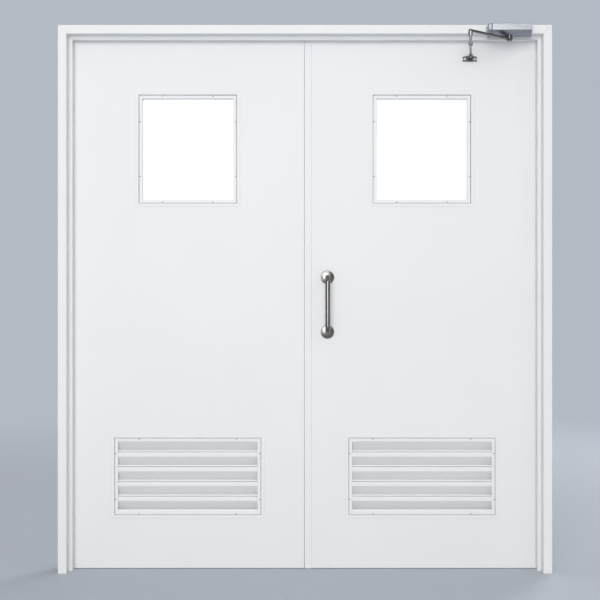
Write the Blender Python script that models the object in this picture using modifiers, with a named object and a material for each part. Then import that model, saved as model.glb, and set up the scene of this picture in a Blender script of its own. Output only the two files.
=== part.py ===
"""Double steel door with vision panels, louvres, a pull handle and an overhead closer.

The frame is a pressed-steel profile with a rebate on both sides of its stop. The leaves hang
in the far rebate and swing away from the viewer, who stands on the push side. X runs to the
right, Y away from the viewer and Z up. The origin is on the floor at mid width, in the plane
of the frame's front face.
"""

import math

import bmesh
import bpy
from mathutils import Matrix, Vector

# Driving dimensions, in millimetres.
MM = 0.001
FIT = 0.3              # gap between pieces that seat on each other

FRAME_WIDTH = 2000.0
FRAME_HEIGHT = 2220.0
FRAME_FACE = 35.0
FRAME_REBATE = 47.0
FRAME_SOFFIT = 40.0    # depth of the stop between the two rebates
FRAME_STOP = 15.0      # how far the stop stands out of the rebates
FRAME_SHEET = 1.5
FRAME_BACKBEND = 12.0

LEAF_THICKNESS = 44.0
LEAF_SKIN = 1.2
LEAF_UNDERCUT = 2.5
HINGE_GAP = 3.0
HEAD_GAP = 3.0
MEETING_GAP = 6.0
STOP_CLEARANCE = 2.5   # between the stop and the closed leaf
CORE_EDGE_SPACE = 4.0

HINGE_HEIGHT = 100.0
HINGE_PLATE = 3.0
HINGE_REACH = 34.0     # how far a hinge plate goes in from the far face
KNUCKLE_RADIUS = 7.0
KNUCKLE_STANDOFF = 0.5
HINGE_PIN_RADIUS = 4.0
HINGE_END_OFFSET = 230.0   # from a leaf's end to the middle of its end hinges

TRIM_SHEET = 1.5
TRIM_FLANGE = 14.0
TRIM_RETURN = 12.0     # how far a front trim's inner edge turns into the leaf

VISION_WIDTH = 404.0   # aperture inside the trim
VISION_HEIGHT = 447.0
VISION_TOP_RAIL = 229.5    # from the leaf's top to the aperture
BEAD_GAP = 1.5
BEAD_WIDTH = 13.5
BEAD_RECESS = 3.0
GLASS_THICKNESS = 6.4
GLASS_EDGE = 2.0

LOUVRE_WIDTH = 604.0   # aperture inside the trim
LOUVRE_HEIGHT = 317.5
LOUVRE_BOTTOM_RAIL = 218.5   # from the leaf's foot to the aperture
LOUVRE_GAP = 1.5
LOUVRE_FACE = 13.5     # width of the casing's front face
LOUVRE_RECESS = 1.0
BLADE_COUNT = 4
BLADE_SHEET = 1.2
BLADE_FIRST = 44.0     # from the top of the opening to the first nose's upper edge
BLADE_NOSE = 18.0
BLADE_STEP = 2.5       # how far the lip stands back from the nose
BLADE_GROOVE = 2.0     # height of the fold between the nose and the lip
BLADE_GROOVE_DEPTH = 12.0
BLADE_LIP = 8.0        # from the nose's upper edge to the top of the lip
BLADE_LIP_LEAN = 1.5
BLADE_SLOPE_DEPTH = 30.0
BLADE_SLOPE_DROP = 42.0
BLADE_TAIL = 6.0

ASTRAGAL_WIDTH = 28.0
ASTRAGAL_THICKNESS = 3.0
ASTRAGAL_LAP = 3.5     # how far the strip stands past its leaf's edge
ASTRAGAL_FOOT_GAP = 2.0
ASTRAGAL_BEVEL = 0.75

HANDLE_EDGE = 90.0     # from the leaf's meeting edge to the handle
HANDLE_CENTRE_Z = 1088.0   # height over the floor
HANDLE_CENTRES = 225.0
HANDLE_BAR_RADIUS = 10.0
HANDLE_PROJECTION = 70.0
HANDLE_BEND = 24.0
ROSE_RADIUS = 27.5
ROSE_THICKNESS = 9.0
ROSE_ROUND = 3.0

CLOSER_INSET = 169.0   # from the frame's side to the middle of the case
CLOSER_LENGTH = 160.0
CLOSER_CAP = 15.0
CLOSER_DEPTH = 45.0
CLOSER_HEIGHT = 52.0
CLOSER_TOP_GAP = 3.0
CLOSER_SLOPE = 25.0    # size of the slope under the front face
CLOSER_BEVEL = 2.0
VALVE_RADIUS = 4.0
VALVE_LENGTH = 5.0

SPINDLE_PLAN = (177.0, -22.0)   # pivots in plan: in from the frame's side, then depth
ELBOW_PLAN = (356.0, -179.0)
SHOE_PLAN = (321.0, 60.0)
SPINDLE_RADIUS = 7.0
SPINDLE_INSERT = 30.0
SPINDLE_HEAD = 3.0
SPINDLE_HEAD_RADIUS = 10.0
ARM_THICKNESS = 6.0
ARM_WIDTH = 18.0
ARM_TIP_WIDTH = 16.0
ARM_HUB_RADIUS = 13.0
ARM_DROP = 5.0              # from the closer's underside to the top of the main arm
ELBOW_RADIUS = 9.0
ELBOW_HEAD_HEIGHT = 17.0
ELBOW_PIN_RADIUS = 4.5
FOREARM_SLEEVE_RADIUS = 6.0
FOREARM_WALL = 2.0          # what the elbow head keeps around the sleeve and the pin
FOREARM_SLEEVE_LENGTH = 120.0
FOREARM_ROD_RADIUS = 4.8
FOREARM_NUT_RADIUS = 10.0
FOREARM_NUT_LENGTH = 12.0
FOREARM_EYE_RADIUS = 9.0
FOREARM_EYE_HEIGHT = 10.5
SHOE_WIDTH = 62.0
SHOE_WAIST = 34.0
SHOE_HEIGHT = 24.0
SHOE_PLATE = 3.0
SHOE_DROP = 70.0            # from the leaf's top to the top of the plate
SHOE_END_DROP = 5.0         # from the top of the plate to the top of its ends
SHOE_END_RISE = 1.0         # from the foot of the plate to the foot of its ends
SHOE_NOTCH = 5.0            # depth of the notch in each end
SHOE_LUG_DROP = 10.0        # from the top of the plate to the top of its lug
SHOE_LUG_THICKNESS = 5.0
SHOE_HOLE_RADIUS = 3.6
SHOE_HOLE_SPREAD = 40.0
SHOE_HOLE_RISE = 11.0

BUFFER_RADIUS = 6.0
BUFFER_INSET = 400.0        # from the frame's side to a head buffer

ROUND_SIDES = 24
FINE_SIDES = 16
NUT_SIDES = 6
BEND_STEPS = 6
ROSE_STEPS = 3

# Sizes that follow from the driving ones.
FRAME_DEPTH = 2 * FRAME_REBATE + FRAME_SOFFIT
REBATE_HALF = FRAME_WIDTH / 2 - FRAME_FACE
LEAF_OUTER = REBATE_HALF - HINGE_GAP
LEAF_INNER = MEETING_GAP / 2
LEAF_MID = (LEAF_OUTER + LEAF_INNER) / 2
LEAF_TOP = FRAME_HEIGHT - FRAME_FACE - HEAD_GAP
LEAF_FRONT = FRAME_REBATE + FRAME_SOFFIT + STOP_CLEARANCE
LEAF_BACK = LEAF_FRONT + LEAF_THICKNESS
LEAF_CENTRE_Y = (LEAF_FRONT + LEAF_BACK) / 2
PIN_X = REBATE_HALF - HINGE_GAP / 2
PIN_Y = max(FRAME_DEPTH, LEAF_BACK) + KNUCKLE_STANDOFF + KNUCKLE_RADIUS
HINGE_HEIGHTS = (
    LEAF_UNDERCUT + HINGE_END_OFFSET,
    (LEAF_UNDERCUT + LEAF_TOP) / 2,
    LEAF_TOP - HINGE_END_OFFSET,
)
TRIM_CUT = 2 * (TRIM_SHEET + FIT)   # what a leaf's cut-out adds to the aperture
VISION_CENTRE_Z = LEAF_TOP - VISION_TOP_RAIL - VISION_HEIGHT / 2
LOUVRE_CENTRE_Z = LEAF_UNDERCUT + LOUVRE_BOTTOM_RAIL + LOUVRE_HEIGHT / 2
HANDLE_X = LEAF_INNER + HANDLE_EDGE
CLOSER_CENTRE_X = FRAME_WIDTH / 2 - CLOSER_INSET
CLOSER_TOP = FRAME_HEIGHT - CLOSER_TOP_GAP
CLOSER_BOTTOM = CLOSER_TOP - CLOSER_HEIGHT
CLOSER_LEFT = CLOSER_CENTRE_X - CLOSER_LENGTH / 2
CLOSER_RIGHT = CLOSER_CENTRE_X + CLOSER_LENGTH / 2
SPINDLE = (FRAME_WIDTH / 2 - SPINDLE_PLAN[0], SPINDLE_PLAN[1])
ELBOW = (FRAME_WIDTH / 2 - ELBOW_PLAN[0], ELBOW_PLAN[1])
SHOE_PIVOT = (FRAME_WIDTH / 2 - SHOE_PLAN[0], SHOE_PLAN[1])
SHOE_TOP_Z = LEAF_TOP - SHOE_DROP
ARM_TOP = CLOSER_BOTTOM - ARM_DROP
ARM_BOTTOM = ARM_TOP - ARM_THICKNESS
LUG_TOP = SHOE_TOP_Z - SHOE_LUG_DROP
EYE_BOTTOM = LUG_TOP + FIT
SIDES = {"left": -1, "right": 1}

PARTS = None
CUTTERS = None


def start_scene():
    """Empty the scene and make the two collections."""
    global PARTS, CUTTERS
    for old in list(bpy.data.objects):
        bpy.data.objects.remove(old, do_unlink=True)
    PARTS = bpy.data.collections.new("double_door")
    CUTTERS = bpy.data.collections.new("double_door_cutters")
    bpy.context.scene.collection.children.link(PARTS)
    bpy.context.scene.collection.children.link(CUTTERS)


def make_material(name, colour, roughness, metallic):
    """A Principled material of one colour."""
    material = bpy.data.materials.new(name)
    material.use_nodes = True
    shader = material.node_tree.nodes["Principled BSDF"]
    shader.inputs["Base Color"].default_value = (*colour, 1.0)
    shader.inputs["Roughness"].default_value = roughness
    shader.inputs["Metallic"].default_value = metallic
    return material


def make_axis(name, place):
    """An empty on a joint's axis, which the pieces of one moving body hang from."""
    axis = bpy.data.objects.new(name, None)
    axis.location = Vector(place) * MM
    PARTS.objects.link(axis)
    return axis


def mesh_object(name, bm, collection):
    """Turn a bmesh in millimetres into an object in metres."""
    bmesh.ops.remove_doubles(bm, verts=bm.verts, dist=1e-4)
    bmesh.ops.recalc_face_normals(bm, faces=bm.faces)
    bmesh.ops.scale(bm, vec=(MM, MM, MM), verts=bm.verts)
    mesh = bpy.data.meshes.new(name)
    bm.to_mesh(mesh)
    bm.free()
    obj = bpy.data.objects.new(name, mesh)
    collection.objects.link(obj)
    return obj


def piece(name, bm, material, axis=None, smooth=False):
    """Make a named sub-part, hung from its joint's axis where it has one."""
    if axis is not None:
        bmesh.ops.translate(bm, vec=-axis.location / MM, verts=bm.verts)
    obj = mesh_object(name, bm, PARTS)
    obj.data.materials.append(material)
    obj.parent = axis
    if smooth:
        obj.data.shade_smooth()
        obj.data.set_sharp_from_angle(angle=math.radians(35))
    return obj


def tool(name, bm):
    """Make a hidden cutter or joining shape."""
    obj = mesh_object(name, bm, CUTTERS)
    obj.hide_render = True
    obj.display_type = "WIRE"
    return obj


def boolean(obj, operation, other):
    """Cut or join one object with another."""
    modifier = obj.modifiers.new(operation.lower(), "BOOLEAN")
    modifier.operation = operation
    modifier.solver = "EXACT"
    modifier.object = other


def cut(obj, *cutters):
    for cutter in cutters:
        boolean(obj, "DIFFERENCE", cutter)


def join(obj, *shapes):
    for shape in shapes:
        boolean(obj, "UNION", shape)


def box(x, y, z):
    """A box from the two ends of its reach along each axis."""
    bm = bmesh.new()
    bmesh.ops.create_cube(bm, size=1.0)
    middle = Vector([(a + b) / 2 for a, b in (x, y, z)])
    sizes = [abs(b - a) for a, b in (x, y, z)]
    bmesh.ops.scale(bm, vec=sizes, verts=bm.verts)
    bmesh.ops.translate(bm, vec=middle, verts=bm.verts)
    return bm


def centred_box(centre_x, width, y, centre_z, height):
    """A box given by its middle and size across the leaf."""
    x = (centre_x - width / 2, centre_x + width / 2)
    z = (centre_z - height / 2, centre_z + height / 2)
    return box(x, y, z)


def rod(start, end, radius, sides=ROUND_SIDES, end_radius=None):
    """A round bar between two points."""
    start = Vector(start)
    end = Vector(end)
    along = end - start
    bm = bmesh.new()
    bmesh.ops.create_cone(
        bm,
        cap_ends=True,
        segments=sides,
        radius1=radius,
        radius2=radius if end_radius is None else end_radius,
        depth=along.length,
    )
    turn = along.to_track_quat("Z", "Y").to_matrix().to_4x4()
    bmesh.ops.transform(bm, matrix=Matrix.Translation((start + end) / 2) @ turn, verts=bm.verts)
    return bm


def upright_rod(place, reach, radius, sides=FINE_SIDES):
    """A round bar that stands at a place in plan, over a reach of heights."""
    return rod((*place, reach[0]), (*place, reach[1]), radius, sides)


def loft(sections, closed=False):
    """Bridge like sections in order, capping the ends or closing the loop."""
    bm = bmesh.new()
    rings = []
    for section in sections:
        verts = [bm.verts.new(point) for point in section]
        edges = [bm.edges.new((a, b)) for a, b in zip(verts, verts[1:] + verts[:1])]
        rings.append((verts, edges))
    pairs = list(zip(rings, rings[1:]))
    if closed:
        pairs.append((rings[-1], rings[0]))
    for (first, _), (second, _) in pairs:
        count = len(first)
        for i in range(count):
            j = (i + 1) % count
            bm.faces.new((first[i], first[j], second[j], second[i]))
    if not closed:
        bmesh.ops.contextual_create(bm, geom=rings[0][1])
        bmesh.ops.contextual_create(bm, geom=rings[-1][1])
    return bm


def sheet_outline(path, thickness):
    """Outline of a folded sheet that lies to the left of a path."""
    points = [Vector(p) for p in path]
    offsets = []
    for i, point in enumerate(points):
        before = (point - points[i - 1]).normalized() if i > 0 else None
        after = (points[i + 1] - point).normalized() if i + 1 < len(points) else None
        ways = [way for way in (before, after) if way is not None]
        normals = [Vector((-way.y, way.x)) for way in ways]
        bisector = sum(normals, Vector((0.0, 0.0))).normalized()
        offsets.append(point + bisector * (thickness / bisector.dot(normals[0])))
    return [tuple(p) for p in points] + [tuple(p) for p in reversed(offsets)]


def mitred_ring(centre_x, centre_z, width, height, outline):
    """A four-sided frame from an outline of (inset, depth) points."""
    corners = ((-1, -1), (1, -1), (1, 1), (-1, 1))
    sections = []
    for sx, sz in corners:
        section = []
        for inset, depth in outline:
            x = centre_x + sx * (width / 2 - inset)
            z = centre_z + sz * (height / 2 - inset)
            section.append((x, depth, z))
        sections.append(section)
    return loft(sections, closed=True)


def turned(name, profile, material, axis, place, turn, sides=ROUND_SIDES):
    """A round piece from (radius, height) points, listed down its outer side."""
    bm = bmesh.new()
    verts = [bm.verts.new((radius * MM, 0.0, height * MM)) for radius, height in profile]
    for a, b in zip(verts, verts[1:]):
        bm.edges.new((a, b))
    mesh = bpy.data.meshes.new(name)
    bm.to_mesh(mesh)
    bm.free()
    mesh.materials.append(material)
    obj = bpy.data.objects.new(name, mesh)
    PARTS.objects.link(obj)
    screw = obj.modifiers.new("turn", "SCREW")
    screw.steps = sides
    screw.render_steps = sides
    screw.use_merge_vertices = True
    screw.merge_threshold = 1e-5
    screw.use_smooth_shade = True
    obj.parent = axis
    base = axis.location if axis is not None else Vector()
    obj.location = Vector(place) * MM - base
    obj.rotation_euler = turn
    return obj


def bent_bar(name, points, bend, radius, material, axis):
    """A round bar along points, with each inner corner bent to an arc."""
    path = [Vector(points[0])]
    for before, corner, after in zip(points, points[1:], points[2:]):
        corner = Vector(corner)
        start = corner + (Vector(before) - corner).normalized() * bend
        end = corner + (Vector(after) - corner).normalized() * bend
        centre = start + end - corner
        for step in range(BEND_STEPS + 1):
            angle = math.pi / 2 * step / BEND_STEPS
            path.append(centre + (start - centre) * math.cos(angle) + (end - centre) * math.sin(angle))
    path.append(Vector(points[-1]))
    curve = bpy.data.curves.new(name + "_path", "CURVE")
    curve.dimensions = "3D"
    curve.bevel_depth = radius * MM
    curve.bevel_resolution = 3
    curve.use_fill_caps = True
    spline = curve.splines.new("POLY")
    spline.points.add(len(path) - 1)
    for point, where in zip(spline.points, path):
        point.co = (*(where * MM - axis.location), 1.0)
    guide = bpy.data.objects.new(name + "_path", curve)
    CUTTERS.objects.link(guide)
    bpy.context.view_layer.update()
    evaluated = guide.evaluated_get(bpy.context.evaluated_depsgraph_get())
    mesh = bpy.data.meshes.new_from_object(evaluated)
    bpy.data.objects.remove(guide, do_unlink=True)
    bm = bmesh.new()
    bm.from_mesh(mesh)
    bmesh.ops.remove_doubles(bm, verts=bm.verts, dist=1e-6)
    bmesh.ops.recalc_face_normals(bm, faces=bm.faces)
    bm.to_mesh(mesh)
    bm.free()
    mesh.name = name
    mesh.materials.clear()
    mesh.materials.append(material)
    mesh.shade_smooth()
    mesh.set_sharp_from_angle(angle=math.radians(35))
    obj = bpy.data.objects.new(name, mesh)
    PARTS.objects.link(obj)
    obj.parent = axis
    return obj


def frame_outline():
    """The pressed frame's section as (inset, depth) points, open towards the wall."""
    stop = FRAME_FACE + FRAME_STOP
    far_rebate = FRAME_REBATE + FRAME_SOFFIT
    path = (
        (0.0, FRAME_BACKBEND),
        (0.0, 0.0),
        (FRAME_FACE, 0.0),
        (FRAME_FACE, FRAME_REBATE),
        (stop, FRAME_REBATE),
        (stop, far_rebate),
        (FRAME_FACE, far_rebate),
        (FRAME_FACE, FRAME_DEPTH),
        (0.0, FRAME_DEPTH),
        (0.0, FRAME_DEPTH - FRAME_BACKBEND),
    )
    return sheet_outline(path, FRAME_SHEET)


def hinge_recess(name, side, edge, inward):
    """Cutters that let a hinge plate into an edge at each hinge height."""
    cutters = []
    depth = HINGE_PLATE + FIT
    for number, height in enumerate(HINGE_HEIGHTS, 1):
        x = (side * (edge - inward * FIT), side * (edge + inward * depth))
        y = (LEAF_BACK - HINGE_REACH - FIT, PIN_Y)
        half = HINGE_HEIGHT / 2 + FIT
        cutters.append(tool(f"{name}_{number}", box(x, y, (height - half, height + half))))
    return cutters


def build_frame(materials):
    """Two jambs and a head, mitred at the corners."""
    outline = frame_outline()
    half = FRAME_WIDTH / 2
    seam = FIT
    for label, side in SIDES.items():
        foot = [(side * (half - inset), depth, 0.0) for inset, depth in outline]
        mitre = [(side * (half - i), d, FRAME_HEIGHT - i - seam) for i, d in outline]
        jamb = piece(f"frame_jamb_{label}", loft([foot, mitre]), materials["paint"])
        cut(jamb, *hinge_recess(f"jamb_recess_{label}", side, REBATE_HALF, 1))
    ends = []
    for side in SIDES.values():
        ends.append([(side * (half - i - seam), d, FRAME_HEIGHT - i) for i, d in outline])
    piece("frame_head", loft(ends), materials["paint"])
    for label, side in SIDES.items():
        stop_back = FRAME_REBATE + FRAME_SOFFIT
        x = side * (half - BUFFER_INSET)
        z = FRAME_HEIGHT - FRAME_FACE - FRAME_STOP / 2
        start = (x, stop_back + FIT, z)
        end = (x, LEAF_FRONT - FIT, z)
        piece(f"stop_buffer_{label}", rod(start, end, BUFFER_RADIUS, FINE_SIDES), materials["rubber"])


def build_hinges(label, side, axis, materials):
    """Lift-off hinges: a frame half that carries the pin, and a leaf half that drops over it."""
    for number, height in enumerate(HINGE_HEIGHTS, 1):
        low = height - HINGE_HEIGHT / 2
        high = height + HINGE_HEIGHT / 2
        plate_y = (LEAF_BACK - HINGE_REACH, LEAF_BACK)
        tongue_y = (LEAF_BACK - HINGE_PLATE, PIN_Y)
        frame_x = (side * REBATE_HALF, side * (REBATE_HALF + HINGE_PLATE))
        leaf_x = (side * LEAF_OUTER, side * (LEAF_OUTER - HINGE_PLATE))
        pivot = side * PIN_X
        name = f"hinge_{label}_{number}"
        lower = (low, height - FIT / 2)
        upper = (height + FIT / 2, high)
        frame_half = piece(f"{name}_frame_half", box(frame_x, plate_y, (low, high)), materials["zinc"])
        knuckle = upright_rod((pivot, PIN_Y), lower, KNUCKLE_RADIUS)
        pin = upright_rod((pivot, PIN_Y), (height - KNUCKLE_RADIUS, high), HINGE_PIN_RADIUS)
        join(
            frame_half,
            tool(f"{name}_frame_tongue", box(frame_x, tongue_y, lower)),
            tool(f"{name}_frame_knuckle", knuckle),
            tool(f"{name}_pin", pin),
        )
        leaf_half = piece(f"{name}_leaf_half", box(leaf_x, plate_y, (low, high)), materials["zinc"], axis)
        knuckle = upright_rod((pivot, PIN_Y), upper, KNUCKLE_RADIUS)
        bore = upright_rod((pivot, PIN_Y), (low, high + FIT), HINGE_PIN_RADIUS + 2 * FIT)
        join(
            leaf_half,
            tool(f"{name}_leaf_tongue", box(leaf_x, tongue_y, upper)),
            tool(f"{name}_leaf_knuckle", knuckle),
        )
        cut(leaf_half, tool(f"{name}_bore", bore))


def build_leaf(label, side, axis, materials):
    """Front and rear steel pans that meet at mid thickness, over a honeycomb core."""
    middle = side * LEAF_MID
    through = (LEAF_FRONT - TRIM_FLANGE, LEAF_BACK + TRIM_FLANGE)
    vision = (VISION_WIDTH + TRIM_CUT, through, VISION_CENTRE_Z, VISION_HEIGHT + TRIM_CUT)
    louvre = (LOUVRE_WIDTH + TRIM_CUT, through, LOUVRE_CENTRE_Z, LOUVRE_HEIGHT + TRIM_CUT)
    apertures = [
        tool(f"vision_cut_{label}", centred_box(middle, *vision)),
        tool(f"louvre_cut_{label}", centred_box(middle, *louvre)),
    ]
    recesses = hinge_recess(f"leaf_recess_{label}", side, LEAF_OUTER, -1)
    x = (side * LEAF_INNER, side * LEAF_OUTER)
    z = (LEAF_UNDERCUT, LEAF_TOP)
    seam = FIT / 2
    inner_x = (side * (LEAF_INNER + LEAF_SKIN), side * (LEAF_OUTER - LEAF_SKIN))
    inner_z = (LEAF_UNDERCUT + LEAF_SKIN, LEAF_TOP - LEAF_SKIN)
    halves = {
        "front": ((LEAF_FRONT, LEAF_CENTRE_Y - seam), (LEAF_FRONT + LEAF_SKIN, LEAF_BACK)),
        "rear": ((LEAF_CENTRE_Y + seam, LEAF_BACK), (LEAF_FRONT, LEAF_BACK - LEAF_SKIN)),
    }
    for half, (reach, hollow) in halves.items():
        pan = piece(f"{label}_leaf_{half}_pan", box(x, reach, z), materials["paint"], axis)
        pocket = tool(f"pan_pocket_{label}_{half}", box(inner_x, hollow, inner_z))
        cut(pan, pocket, *apertures, *recesses)
    core_x = (side * (LEAF_INNER + CORE_EDGE_SPACE), side * (LEAF_OUTER - CORE_EDGE_SPACE))
    core_y = (LEAF_FRONT + LEAF_SKIN + FIT, LEAF_BACK - LEAF_SKIN - FIT)
    core_z = (LEAF_UNDERCUT + LEAF_SKIN + FIT, LEAF_TOP - LEAF_SKIN - FIT)
    core = piece(f"{label}_leaf_core", box(core_x, core_y, core_z), materials["card"], axis)
    cut(core, *apertures)


def front_trim(centre_x, centre_z, width, height):
    """An angle trim whose flange lies on the leaf and whose edge turns into the aperture."""
    face = LEAF_FRONT - FIT - TRIM_SHEET
    path = ((0.0, face), (TRIM_FLANGE, face), (TRIM_FLANGE, LEAF_FRONT + TRIM_RETURN))
    outline = sheet_outline(path, TRIM_SHEET)
    return mitred_ring(centre_x, centre_z, width + 2 * TRIM_FLANGE, height + 2 * TRIM_FLANGE, outline)


def build_vision_panel(label, side, axis, materials):
    """Trim, glazing bead, pane and rear trim of one vision panel."""
    middle = side * LEAF_MID
    trim = front_trim(middle, VISION_CENTRE_Z, VISION_WIDTH, VISION_HEIGHT)
    piece(f"{label}_vision_trim", trim, materials["paint"], axis)
    pane_front = LEAF_CENTRE_Y - GLASS_THICKNESS / 2
    pane_back = LEAF_CENTRE_Y + GLASS_THICKNESS / 2
    bead_front = LEAF_FRONT + BEAD_RECESS
    bead_outline = (
        (0.0, bead_front),
        (BEAD_WIDTH, bead_front),
        (BEAD_WIDTH, pane_front - FIT),
        (0.0, pane_front - FIT),
    )
    bead_size = (VISION_WIDTH - 2 * BEAD_GAP, VISION_HEIGHT - 2 * BEAD_GAP)
    bead = mitred_ring(middle, VISION_CENTRE_Z, *bead_size, bead_outline)
    piece(f"{label}_vision_bead", bead, materials["paint"], axis)
    pane_size = (VISION_WIDTH - 2 * GLASS_EDGE, VISION_HEIGHT - 2 * GLASS_EDGE)
    pane = centred_box(middle, pane_size[0], (pane_front, pane_back), VISION_CENTRE_Z, pane_size[1])
    piece(f"{label}_vision_glass", pane, materials["glass"], axis)
    back = LEAF_BACK + FIT
    sight = TRIM_FLANGE + BEAD_GAP + BEAD_WIDTH
    rear_outline = (
        (0.0, back),
        (0.0, back + TRIM_SHEET),
        (TRIM_FLANGE, back + TRIM_SHEET),
        (TRIM_FLANGE, LEAF_BACK - BEAD_RECESS),
        (sight, LEAF_BACK - BEAD_RECESS),
        (sight, pane_back + FIT),
        (TRIM_FLANGE - TRIM_SHEET, pane_back + FIT),
        (TRIM_FLANGE - TRIM_SHEET, back),
    )
    rear_size = (VISION_WIDTH + 2 * TRIM_FLANGE, VISION_HEIGHT + 2 * TRIM_FLANGE)
    rear = mitred_ring(middle, VISION_CENTRE_Z, *rear_size, rear_outline)
    piece(f"{label}_vision_rear_trim", rear, materials["paint"], axis)


def build_louvre(label, side, axis, materials):
    """Trim, casing and sight-proof blades of one louvre."""
    middle = side * LEAF_MID
    trim = front_trim(middle, LOUVRE_CENTRE_Z, LOUVRE_WIDTH, LOUVRE_HEIGHT)
    piece(f"{label}_louvre_trim", trim, materials["paint"], axis)
    face = LEAF_FRONT + LOUVRE_RECESS
    wall = TRIM_FLANGE + LOUVRE_GAP
    back = LEAF_BACK + FIT
    path = ((0.0, back), (wall, back), (wall, face), (wall + LOUVRE_FACE, face))
    outline = sheet_outline(path, TRIM_SHEET)
    size = (LOUVRE_WIDTH + 2 * TRIM_FLANGE, LOUVRE_HEIGHT + 2 * TRIM_FLANGE)
    casing_ring = mitred_ring(middle, LOUVRE_CENTRE_Z, *size, outline)
    casing = piece(f"{label}_louvre_casing", casing_ring, materials["paint"], axis)
    opening_top = LOUVRE_CENTRE_Z + LOUVRE_HEIGHT / 2 - LOUVRE_GAP - LOUVRE_FACE
    opening_height = LOUVRE_HEIGHT - 2 * (LOUVRE_GAP + LOUVRE_FACE)
    wall_half = LOUVRE_WIDTH / 2 - LOUVRE_GAP
    casing_y = face + TRIM_SHEET / 2
    header = header_path(casing_y, opening_top)
    sill = sill_path(casing_y, opening_top - opening_height)
    casing_half = wall_half - TRIM_SHEET / 2
    join(
        casing,
        tool(f"{label}_louvre_header", folded_strip(header, middle, casing_half)),
        tool(f"{label}_louvre_sill", folded_strip(sill, middle, casing_half)),
    )
    pitch = (opening_height - BLADE_FIRST) / BLADE_COUNT
    nose_y = face + TRIM_SHEET + FIT
    blade_half = wall_half - TRIM_SHEET - FIT
    for number in range(BLADE_COUNT):
        path = blade_path(nose_y, opening_top - BLADE_FIRST - pitch * number)
        blade = folded_strip(path, middle, blade_half)
        piece(f"{label}_louvre_blade_{number + 1}", blade, materials["paint"], axis)


def folded_strip(path, middle, half_length):
    """A blade sheet along X whose front follows a path of (y, z) points, listed downwards."""
    section = sheet_outline(path, BLADE_SHEET)
    return loft([[(middle + end * half_length, y, z) for y, z in section] for end in (-1, 1)])


def slope_path(y, z):
    """The slope that runs back and down from a nose's foot, and its upright tail."""
    slope_end = (y + BLADE_SLOPE_DEPTH, z - BLADE_SLOPE_DROP)
    return ((y, z), slope_end, (slope_end[0], slope_end[1] - BLADE_TAIL))


def blade_path(nose_y, nose_top):
    """Fold line of a blade: lip, groove, nose, slope and tail, as (y, z) points."""
    lip_y = nose_y + BLADE_STEP
    groove_y = nose_y + BLADE_GROOVE_DEPTH
    return (
        (lip_y + BLADE_LIP_LEAN, nose_top + BLADE_LIP),
        (lip_y, nose_top + BLADE_GROOVE),
        (groove_y, nose_top + BLADE_GROOVE),
        (groove_y, nose_top),
        (nose_y, nose_top),
        *slope_path(nose_y, nose_top - BLADE_NOSE),
    )


def header_path(y, opening_top):
    """Fold line of the slope that hangs behind the casing's upper face."""
    return ((y, opening_top + LOUVRE_FACE / 2), *slope_path(y, opening_top - FIT))


def sill_path(y, opening_bottom):
    """Fold line of the lip that stands up behind the casing's lower face."""
    return (
        (y + BLADE_LIP_LEAN, opening_bottom + BLADE_LIP),
        (y, opening_bottom - FIT),
        (y, opening_bottom - LOUVRE_FACE / 2),
    )


def build_astragal(axis, materials):
    """The strip on the right leaf that covers the gap between the leaves."""
    x = (LEAF_INNER - ASTRAGAL_LAP, LEAF_INNER - ASTRAGAL_LAP + ASTRAGAL_WIDTH)
    y = (LEAF_FRONT - FIT - ASTRAGAL_THICKNESS, LEAF_FRONT - FIT)
    top = FRAME_HEIGHT - FRAME_FACE - FRAME_STOP - HEAD_GAP
    strip = piece("meeting_astragal", box(x, y, (ASTRAGAL_FOOT_GAP, top)), materials["paint"], axis)
    bevel = strip.modifiers.new("soft_edges", "BEVEL")
    bevel.width = ASTRAGAL_BEVEL * MM
    bevel.segments = 1


def build_handle(label, face_y, outward, axis, materials):
    """A round D handle on two roses, standing out of one face of the right leaf."""
    heights = (HANDLE_CENTRE_Z - HANDLE_CENTRES / 2, HANDLE_CENTRE_Z + HANDLE_CENTRES / 2)
    rose_front = FIT + ROSE_THICKNESS
    profile = [(0.0, ROSE_THICKNESS)]
    for step in range(ROSE_STEPS + 1):
        angle = math.pi / 2 * step / ROSE_STEPS
        radius = ROSE_RADIUS - ROSE_ROUND * (1 - math.sin(angle))
        profile.append((radius, ROSE_THICKNESS - ROSE_ROUND * (1 - math.cos(angle))))
    profile += [(ROSE_RADIUS, 0.0), (0.0, 0.0)]
    tilt = -outward * math.pi / 2
    for place, height in zip(("lower", "upper"), heights):
        seat = (HANDLE_X, face_y + outward * FIT, height)
        turned(f"handle_{label}_{place}_rose", profile, materials["steel"], axis, seat, (tilt, 0.0, 0.0))
    grip_y = face_y + outward * (HANDLE_PROJECTION - HANDLE_BAR_RADIUS)
    foot_y = face_y + outward * (rose_front + FIT)
    points = (
        (HANDLE_X, foot_y, heights[0]),
        (HANDLE_X, grip_y, heights[0]),
        (HANDLE_X, grip_y, heights[1]),
        (HANDLE_X, foot_y, heights[1]),
    )
    bent_bar(f"handle_{label}_bar", points, HANDLE_BEND, HANDLE_BAR_RADIUS, materials["steel"], axis)


def closer_section(x):
    """The closer body's section: upright front face with a slope below it."""
    back = -FIT
    front = -CLOSER_DEPTH
    return [
        (x, back, CLOSER_TOP),
        (x, front, CLOSER_TOP),
        (x, front, CLOSER_BOTTOM + CLOSER_SLOPE),
        (x, front + CLOSER_SLOPE, CLOSER_BOTTOM),
        (x, back, CLOSER_BOTTOM),
    ]


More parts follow.
